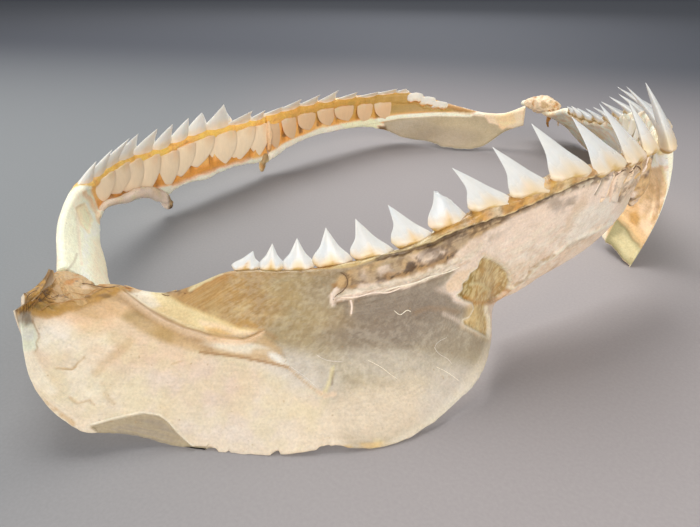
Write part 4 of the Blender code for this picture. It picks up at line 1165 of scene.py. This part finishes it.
def makePad(pad):
    deselectAll()
    bpy.ops.mesh.primitive_ico_sphere_add(subdivisions=6, radius=1)
    piece = named(bpy.context.active_object, pad["name"])
    ball = cornersOf(piece)
    taper = 1 - pad.get("taper", 0.0) * np.clip(-ball[:, 2], 0, 1)
    narrow = np.column_stack([taper, taper, np.ones(len(ball))])
    places = np.array(pad["centre"]) + ball * np.array(pad["half"]) * narrow
    places += np.outer(np.clip(-ball[:, 2], 0, 1) ** 2, pad.get("skew", (0.0, 0.0, 0.0)))
    way = unit(ball / np.array(pad["half"]))
    ridges = 1 - np.abs(cloud(places, 5.0, 51)) * 2
    bumps = pad["lumps"] * (0.5 * cloud(places, 8, 52) + 0.25 * ridges + 0.15 * cloud(places, 2, 53))
    places = aboveTable(places + way * bumps[:, None])
    main, light, dark = pad["tints"]
    colour = evenly(main, len(ball))
    for tint, size, seed, low in ((light, 6, 54, 0.0), (dark, 4, 55, 0.15), ("umber", 1.6, 56, 0.45)):
        colour = tinted(colour, tint, smooth(cloud(places, size, seed), low, low + 0.4) * 0.85)
    moveCorners(piece, places)
    keepPaint(piece, colour, 0.5 + 0.2 * cloud(places, 3, 57), places)
    return closeSeams(piece)


# Rolls and fibres of dried tissue: x, y, z and radius in mm at each step of the way.
footRoll = dict(
    name="footRoll", node="upper_jaw_right", tints=("blush", "peach", "straw"), lumps=0.5, grit=(167.5, 171),
    path=[(-76, -143, 27, 1.2), (-79, -135, 29.5, 1.7), (-88, -121, 25.5, 2.1), (-95, -109, 23.3, 2.5),
          (-100.5, -99, 18.8, 3.0), (-104, -91, 12.6, 3.3), (-105.5, -87.5, 7.3, 3.3),
          (-104.5, -87.6, 4.2, 2.7)],
)
spurRoll = dict(
    name="spurRoll", node="upper_jaw_right", tints=("straw", "brown", "rust"), lumps=0.7,
    path=[(-114, -2, 15, 1.6), (-113.5, -4.5, 11, 2.9), (-113, -7.0, 7.5, 2.2), (-112, -9.0, 3.8, 0.9)],
)
shreds = [
    dict(name="shred0", node="joint_left", tints=("rust", "brown", "umber"), lumps=0.8,
         path=[(15.5, 166.3, 33.4, 1.0), (16.6, 167.3, 28.2, 1.3), (16, 166.9, 23, 0.9),
               (17.2, 167.8, 19.5, 0.4)]),
    dict(name="shred1", node="joint_left", tints=("peach", "white", "tan"), lumps=0.8,
         path=[(21.9, 171.6, 31.7, 0.7), (21.9, 171.6, 26.5, 0.8), (22.7, 172.3, 20.4, 0.4)]),
    dict(name="shred2", node="joint_left", tints=("orange", "peach", "rust"), lumps=0.9,
         path=[(26.6, 175.4, 33, 1.2), (25.4, 174.5, 27.3, 1.5), (27.8, 176.3, 23, 0.7)]),
    dict(name="frontSeam", node="upper_symphysis", tints=("flesh", "orange", "peach"), lumps=0.5,
         path=[(-111, 0, 37, 0.8), (-110.8, 0, 31, 1.8), (-110.8, -0.5, 24, 1.8), (-111.5, -1, 16, 1.4)]),
]
fibres = [     # tint, radius, lift off the plate, and the way in photo pixels
    ("umber", 0.11, 0.4, [(22, 306), (27, 297), (34, 291), (42, 293), (47, 299), (57, 302)]),
    ("brown", 0.13, 0.5, [(30, 310), (37, 299), (44, 290), (52, 292), (58, 299)]),
    ("umber", 0.1, 0.3, [(26, 311), (33, 303), (40, 303), (48, 296), (54, 301), (60, 297)]),
    ("blush", 1.0, -0.72, [(604, 176), (601, 184), (595, 193), (588, 199)]),
    ("peach", 1.1, -0.78, [(613, 172), (610, 182), (606, 193), (600, 203)]),
    ("pink", 1.1, -0.8, [(621, 168), (617, 179), (613, 190), (610, 204)]),
    ("tan", 1.1, -0.75, [(629, 166), (625, 176), (621, 186), (618, 198)]),
    ("peach", 1.2, -0.8, [(637, 160), (633, 168), (631, 177), (625, 184)]),
    ("tan", 1.1, -0.65, [(645, 154), (641, 163), (640, 172), (634, 178)]),
    ("blush", 1.1, -0.65, [(652, 150), (649, 158), (645, 166), (643, 172)]),
    ("brown", 0.18, 0.4, [(40, 312), (50, 306), (62, 306), (76, 302), (92, 300)]),
    ("brown", 0.18, 0.5, [(62, 300), (74, 296), (88, 297), (100, 292), (112, 294)]),
    ("umber", 0.15, 0.5, [(80, 279), (90, 282), (99, 289), (110, 291), (121, 287)]),
    ("tan", 0.2, 0.5, [(125, 282), (140, 285), (152, 292), (166, 293), (178, 291)]),
    ("umber", 0.13, 0.4, [(160, 290), (168, 295), (176, 292), (186, 294)]),
    ("blush", 0.4, 0.1, [(351, 299), (352.5, 306), (352, 314)]),
    ("ivory", 0.14, 0.1, [(395, 310), (401, 315), (406, 310), (411, 312)]),
    ("umber", 0.12, 0.0, [(341, 272), (347, 276), (348, 284), (342, 291), (336, 296), (333, 301)]),
    ("ivory", 0.2, 0.4, [(384, 291), (398, 287), (414, 284), (430, 277), (446, 272), (460, 266)]),
    ("blush", 0.24, 0.4, [(340, 298), (356, 297), (372, 293), (388, 292), (404, 286)]),
    ("ivory", 0.09, 0.0, [(368, 359.5), (376, 364.5), (384, 369), (391, 374), (398, 379.5)]),
    ("ivory", 0.1, 0.0, [(437, 366), (444, 370), (451, 374.5), (459, 381)]),
    ("veil", 0.07, 0.0, [(448, 337), (438, 342), (435, 348), (440, 354), (448, 359), (453, 365)]),
    ("veil", 0.08, 0.0, [(450, 413), (460, 402), (470, 387)]),
    ("veil", 0.08, 0.0, [(316, 354), (324, 359), (333, 361), (342, 361)]),
    ("veil", 0.08, 0.0, [(290, 366), (300, 373), (309, 380), (318, 387)]),
    ("brown", 0.18, 0.4, [(622, 168), (630, 162), (638, 164), (645, 157), (652, 158)]),
    ("umber", 0.18, 0.3, [(616, 176), (623, 170), (630, 172), (636, 166), (640, 170)]),
]


def rollAlong(copy, ball, path, lumps, seed):
    # a blank drawn out along a path, closed at both ends
    share, across, through = ball
    rows = smoothRows(path, share)
    ahead = unit((smoothRows(path, share + 0.02) - smoothRows(path, share - 0.02))[:, :3], 1e-9)
    level = unit(np.cross(ahead, (0.0, 0.0, 1.0)), 1e-9)
    swell = rows[:, 3] * np.sqrt(np.clip(np.sin(math.pi * share) * 3, 0, 1))
    spread = np.column_stack([across, through, share]) * 3
    swell = (swell * (1 + lumps * cloud(rows[:, :3] + spread, 3.5, seed)))[:, None]
    ring = level * across[:, None] + np.cross(level, ahead) * through[:, None]
    places = aboveTable(rows[:, :3] + ring * swell)
    moveCorners(copy, places)
    return places


def makeRoll(roll, blank, ball):
    piece = copyOf(blank, roll["name"])
    places = rollAlong(piece, ball, roll["path"], roll["lumps"], 61)
    main, second, third = roll["tints"]
    colour = tinted(evenly(main, len(places)), second, smooth(cloud(places, 7, 62), -0.1, 0.5) * 0.8)
    colour = tinted(colour, third, smooth(cloud(places, 4, 63), 0.1, 0.6) * 0.7)
    if "grit" in roll:
        side = smooth(photoSpots(places)[0], *roll["grit"])
        colour = tinted(tinted(colour, "tan", side), "pit", side * smooth(cloud(places, 1.4, 64), -0.2, 0.2))
    keepPaint(piece, colour, np.full(len(places), 0.5), places)
    return closeSeams(piece)


def makeFibres(skin, blank, ball):
    made = []
    for number, (tint, radius, lift, way) in enumerate(fibres):
        path = [(*skin.spot(x, y, lift), radius) for x, y in way]
        strand = copyOf(blank, f"fibre{number}")
        places = rollAlong(strand, ball, path, 0.4, 70 + number)
        keepPaint(strand, evenly(tint, len(places)), np.full(len(places), 0.5), places)
        made.append(strand)
    return closeSeams(joined(made, "looseFibres"))


# Shader maths as plain sums.
class Wire:
    def __init__(self, finish, socket):
        self.finish, self.socket = finish, socket

    def maths(self, operation, first, second):
        return self.finish.node("ShaderNodeMath", dict(operation=operation), {0: first, 1: second})

    def __add__(self, other):
        return self.maths("ADD", self, other)

    def __mul__(self, other):
        return self.maths("MULTIPLY", self, other)

    def __sub__(self, other):
        return self.maths("SUBTRACT", self, other)

    def __rsub__(self, other):
        return self.maths("SUBTRACT", other, self)

    __radd__, __rmul__ = __add__, __mul__


class Finish:
    def __init__(self, name, **fixed):
        self.material = bpy.data.materials.new(name)
        self.material.use_nodes = True
        self.tree = self.material.node_tree
        self.shader = self.tree.nodes["Principled BSDF"]
        self.join(fixed, self.shader)

    def join(self, sockets, node):
        for key, value in sockets.items():
            if isinstance(value, Wire):
                self.tree.links.new(value.socket, node.inputs[key])
            else:
                node.inputs[key].default_value = value

    def node(self, kind, settings=None, sockets=None, out=0):
        made = self.tree.nodes.new(kind)
        for key, value in (settings or {}).items():
            if key == "stops":
                for stop, (spot, shade) in zip(made.color_ramp.elements, value):
                    stop.position, stop.color = spot, (shade, shade, shade, 1)
            else:
                setattr(made, key, value)
        self.join(sockets or {}, made)
        return Wire(self, made.outputs[out])

    def own(self, name, out):
        return self.node("ShaderNodeAttribute", dict(attribute_name=name), out=out)

    def given(self):
        # where a spot is, and the colour and dullness laid on the mesh
        spots = self.node("ShaderNodeTexCoord", out="Object")
        return spots, self.own("paint", "Color"), self.own("dull", "Fac")

    def noise(self, spots, scale, detail=3.0, rough=0.55):
        sockets = {"Vector": spots, "Scale": scale, "Detail": detail, "Roughness": rough}
        return self.node("ShaderNodeTexNoise", sockets=sockets)

    def stretched(self, spots, scale):
        return self.node("ShaderNodeVectorMath", dict(operation="MULTIPLY"), {0: spots, 1: scale})

    def ramp(self, value, *stops):
        return self.node("ShaderNodeValToRGB", dict(stops=stops), {"Fac": value})

    def blend(self, share, first, second, kind="MIX"):
        settings = dict(data_type="RGBA", blend_type=kind)
        return self.node("ShaderNodeMix", settings, {0: share, 6: first, 7: second}, out=2)

    def way(self, spots, direction):
        settings = dict(operation="DOT_PRODUCT")
        return self.node("ShaderNodeVectorMath", settings, {0: spots, 1: direction}, out="Value")

    def rise(self, value, start, end):
        settings = dict(interpolation_type="SMOOTHSTEP")
        return self.node("ShaderNodeMapRange", settings, {"Value": value, 1: start, 2: end, 3: 0.0, 4: 1.0})

    def wear(self, colour, rough, height, strength, distance):
        sockets = {"Height": height, "Strength": strength, "Distance": distance}
        bump = self.node("ShaderNodeBump", sockets=sockets)
        self.join({"Base Color": colour, "Roughness": rough, "Normal": bump}, self.shader)
        return self.material


speckColour = (0.36, 0.22, 0.10, 1)


def cartilageFinish():
    finish = Finish("driedCartilage", **{
        "Subsurface Weight": 0.12, "Subsurface Scale": 0.004, "Subsurface Radius": (1.0, 0.62, 0.36),
        "Specular IOR Level": 0.42,
    })
    spots, paint, dull = finish.given()
    lay = finish.own("lay", "Vector")
    grain = finish.noise(spots, 1200.0, 2.0)
    blotch = finish.noise(spots, 170.0, 4.0)
    strands = finish.noise(finish.stretched(lay, (120.0, 900.0, 300.0)), 1.0, 3.0)
    shade = finish.ramp(grain * 0.5 + blotch * 0.25 + strands * 0.25, (0.3, 0.80), (0.7, 1.12))
    specks = finish.ramp(finish.noise(spots, 700.0, 2.0, 0.4), (0.70, 0.0), (0.78, 1.0))
    colour = finish.blend(1.0, paint, shade, "MULTIPLY")
    colour = finish.blend(specks * 0.45, colour, speckColour)
    height = grain * 0.5 + strands * 0.5 + blotch * 0.6
    return finish.wear(colour, dull + blotch * 0.2 - 0.1, height, 0.5, 0.0006)


def enamelFinish():
    finish = Finish("toothEnamel", **{
        "Subsurface Weight": 0.15, "Subsurface Scale": 0.003, "Subsurface Radius": (1.0, 0.8, 0.6),
        "IOR": 1.55,
    })
    spots, paint, dull = finish.given()
    lay = finish.own("lay", "Vector")
    lines = finish.noise(finish.stretched(lay, (1400.0, 500.0, 90.0)), 1.0, 3.0)
    blotch = finish.noise(spots, 350.0, 3.0)
    shade = finish.ramp(lines * 0.5 + blotch * 0.5, (0.3, 0.93), (0.7, 1.03))
    colour = finish.blend(1.0, paint, shade, "MULTIPLY")
    return finish.wear(colour, dull + blotch * 0.16 - 0.08, lines * 0.6 + blotch * 0.4, 0.3, 0.0003)


def ligamentFinish():
    finish = Finish("driedLigament", **{
        "Subsurface Weight": 0.1, "Subsurface Scale": 0.003, "Subsurface Radius": (1.0, 0.5, 0.25),
    })
    spots, paint, dull = finish.given()
    strands = finish.noise(finish.stretched(spots, (500.0, 1500.0, 500.0)), 1.0, 4.0)
    knots = finish.noise(spots, 800.0, 4.0)
    shade = finish.ramp(strands * 0.6 + knots * 0.4, (0.3, 0.66), (0.7, 1.1))
    colour = finish.blend(1.0, paint, shade, "MULTIPLY")
    return finish.wear(colour, dull + knots * 0.2 - 0.1, strands * 0.6 + knots * 0.6, 0.8, 0.0010)


# The table's colour is painted with light and shade: brightest at its near right, and darker to the left and
# to the back. Ways in metres.
floorPaintedLight = dict(
    left=(0.228, 0.240, 0.248, 1), right=(0.367, 0.338, 0.338, 1), leftToRight=(-0.22, 0.02),
    back=(0.064, 0.069, 0.083, 1), frontToBack=(-0.1, 0.68), slant=0.3,
    far=(0.150, 0.156, 0.172, 1), backToFar=(0.6, 2.1),
    backWay=(-0.629, 0.777, 0.0), rightWay=(0.777, 0.629, 0.0),
)


def floorFinish():
    finish = Finish("paleFloor", **{"Roughness": 0.75, "Specular IOR Level": 0.25})
    spots = finish.node("ShaderNodeTexCoord", out="Object")
    tones = floorPaintedLight
    back, side = finish.way(spots, tones["backWay"]), finish.way(spots, tones["rightWay"])
    paintedLight = finish.blend(finish.rise(side, *tones["leftToRight"]), tones["left"], tones["right"])
    paintedLight = finish.blend(finish.rise(back + side * tones["slant"], *tones["frontToBack"]), paintedLight, tones["back"])
    paintedLight = finish.blend(finish.rise(back, *tones["backToFar"]), paintedLight, tones["far"])
    shade = finish.ramp(finish.noise(spots, 900.0, 2.0), (0.3, 0.96), (0.7, 1.03))
    finish.join({"Base Color": finish.blend(1.0, paintedLight, shade, "MULTIPLY")}, finish.shader)
    return finish.material


finishes = dict(cartilage=cartilageFinish(), tooth=enamelFinish(), ligament=ligamentFinish())


def settle(piece, node, slot):
    piece.data.materials.clear()
    piece.data.materials.append(finishes[slot])
    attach(piece, "root")
    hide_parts(node)


blank, *ball = toothBlank()
for half in (rightLower, leftLower, rightUpper, leftUpper):
    skin = Skin(half)
    skin.groundwork()
    for mark in half["marks"]:
        skin.mark(**mark)
    settle(skin.finish(), half["node"], "cartilage")
    settle(standingTeeth(half, skin.margin, blank, ball), half["node"], "tooth")
    settle(lyingTeeth(half, skin.margin, blank, ball), half["node"], "tooth")
    if half is rightLower:
        settle(makeFibres(skin, blank, ball), half["node"], "cartilage")
    print(half["name"], "made")
for roll in [footRoll, spurRoll] + shreds:
    settle(makeRoll(roll, blank, ball), roll["node"], "cartilage")
bpy.data.objects.remove(blank)
for pad in pads:
    settle(makePad(pad), pad["node"], "ligament")
print("pads made")


# Floor, light and camera.
studio = dict(
    floorSize=12.0,
    overhead=dict(place=(-0.72, 0.36, 1.25), size=0.9, power=18.5, colour=(1.0, 0.985, 0.96)),
    back=dict(place=(-0.55, 1.10, 0.75), size=0.6, power=6.0, colour=(1.0, 0.98, 0.96)),
    side=dict(place=(-1.30, -1.70, 0.60), size=1.6, power=24.0, colour=(1.0, 0.96, 0.91)),
    fill=dict(place=(2.05, -1.50, 0.60), size=2.2, power=86.0, colour=(1.0, 0.965, 0.92)),
    sky=(0.84, 0.90, 1.0), skyStrength=0.24,
)


def makeLight(name, lamp):
    light = bpy.data.lights.new(name, "AREA")
    light.size, light.energy, light.color = lamp["size"], lamp["power"], lamp["colour"]
    item = bpy.data.objects.new(name, light)
    item.location = lamp["place"]
    item.rotation_euler = (-Vector(lamp["place"])).to_track_quat("-Z", "Y").to_euler()
    bpy.context.scene.collection.objects.link(item)


def makeCamera():
    camera = bpy.data.cameras.new("photoView")
    camera.sensor_width = view["sensor"]
    camera.lens = view["focal"] / view["size"][0] * view["sensor"]
    camera.clip_start, camera.clip_end = view["clip"]
    item = bpy.data.objects.new("photoView", camera)
    ahead, right, up = viewAxes()
    turn = Matrix((right, up, -ahead)).transposed().to_4x4()
    item.matrix_world = Matrix.Translation((np.array(view["place"]) - ringCentre) * mm) @ turn
    bpy.context.scene.collection.objects.link(item)
    bpy.context.scene.camera = item


deselectAll()
bpy.ops.mesh.primitive_plane_add(size=studio["floorSize"], location=(0, 0, 0))
floor = named(bpy.context.active_object, "floor")
floor.data.materials.append(floorFinish())
for name in ("overhead", "back", "side", "fill"):
    makeLight(name, studio[name])
world = bpy.data.worlds.new("softSky")
world.use_nodes = True
sky = world.node_tree.nodes["Background"]
sky.inputs["Color"].default_value = (*studio["sky"], 1)
sky.inputs["Strength"].default_value = studio["skyStrength"]
bpy.context.scene.world = world
bpy.context.scene.view_settings.view_transform = "Standard"
makeCamera()
print("studio made")
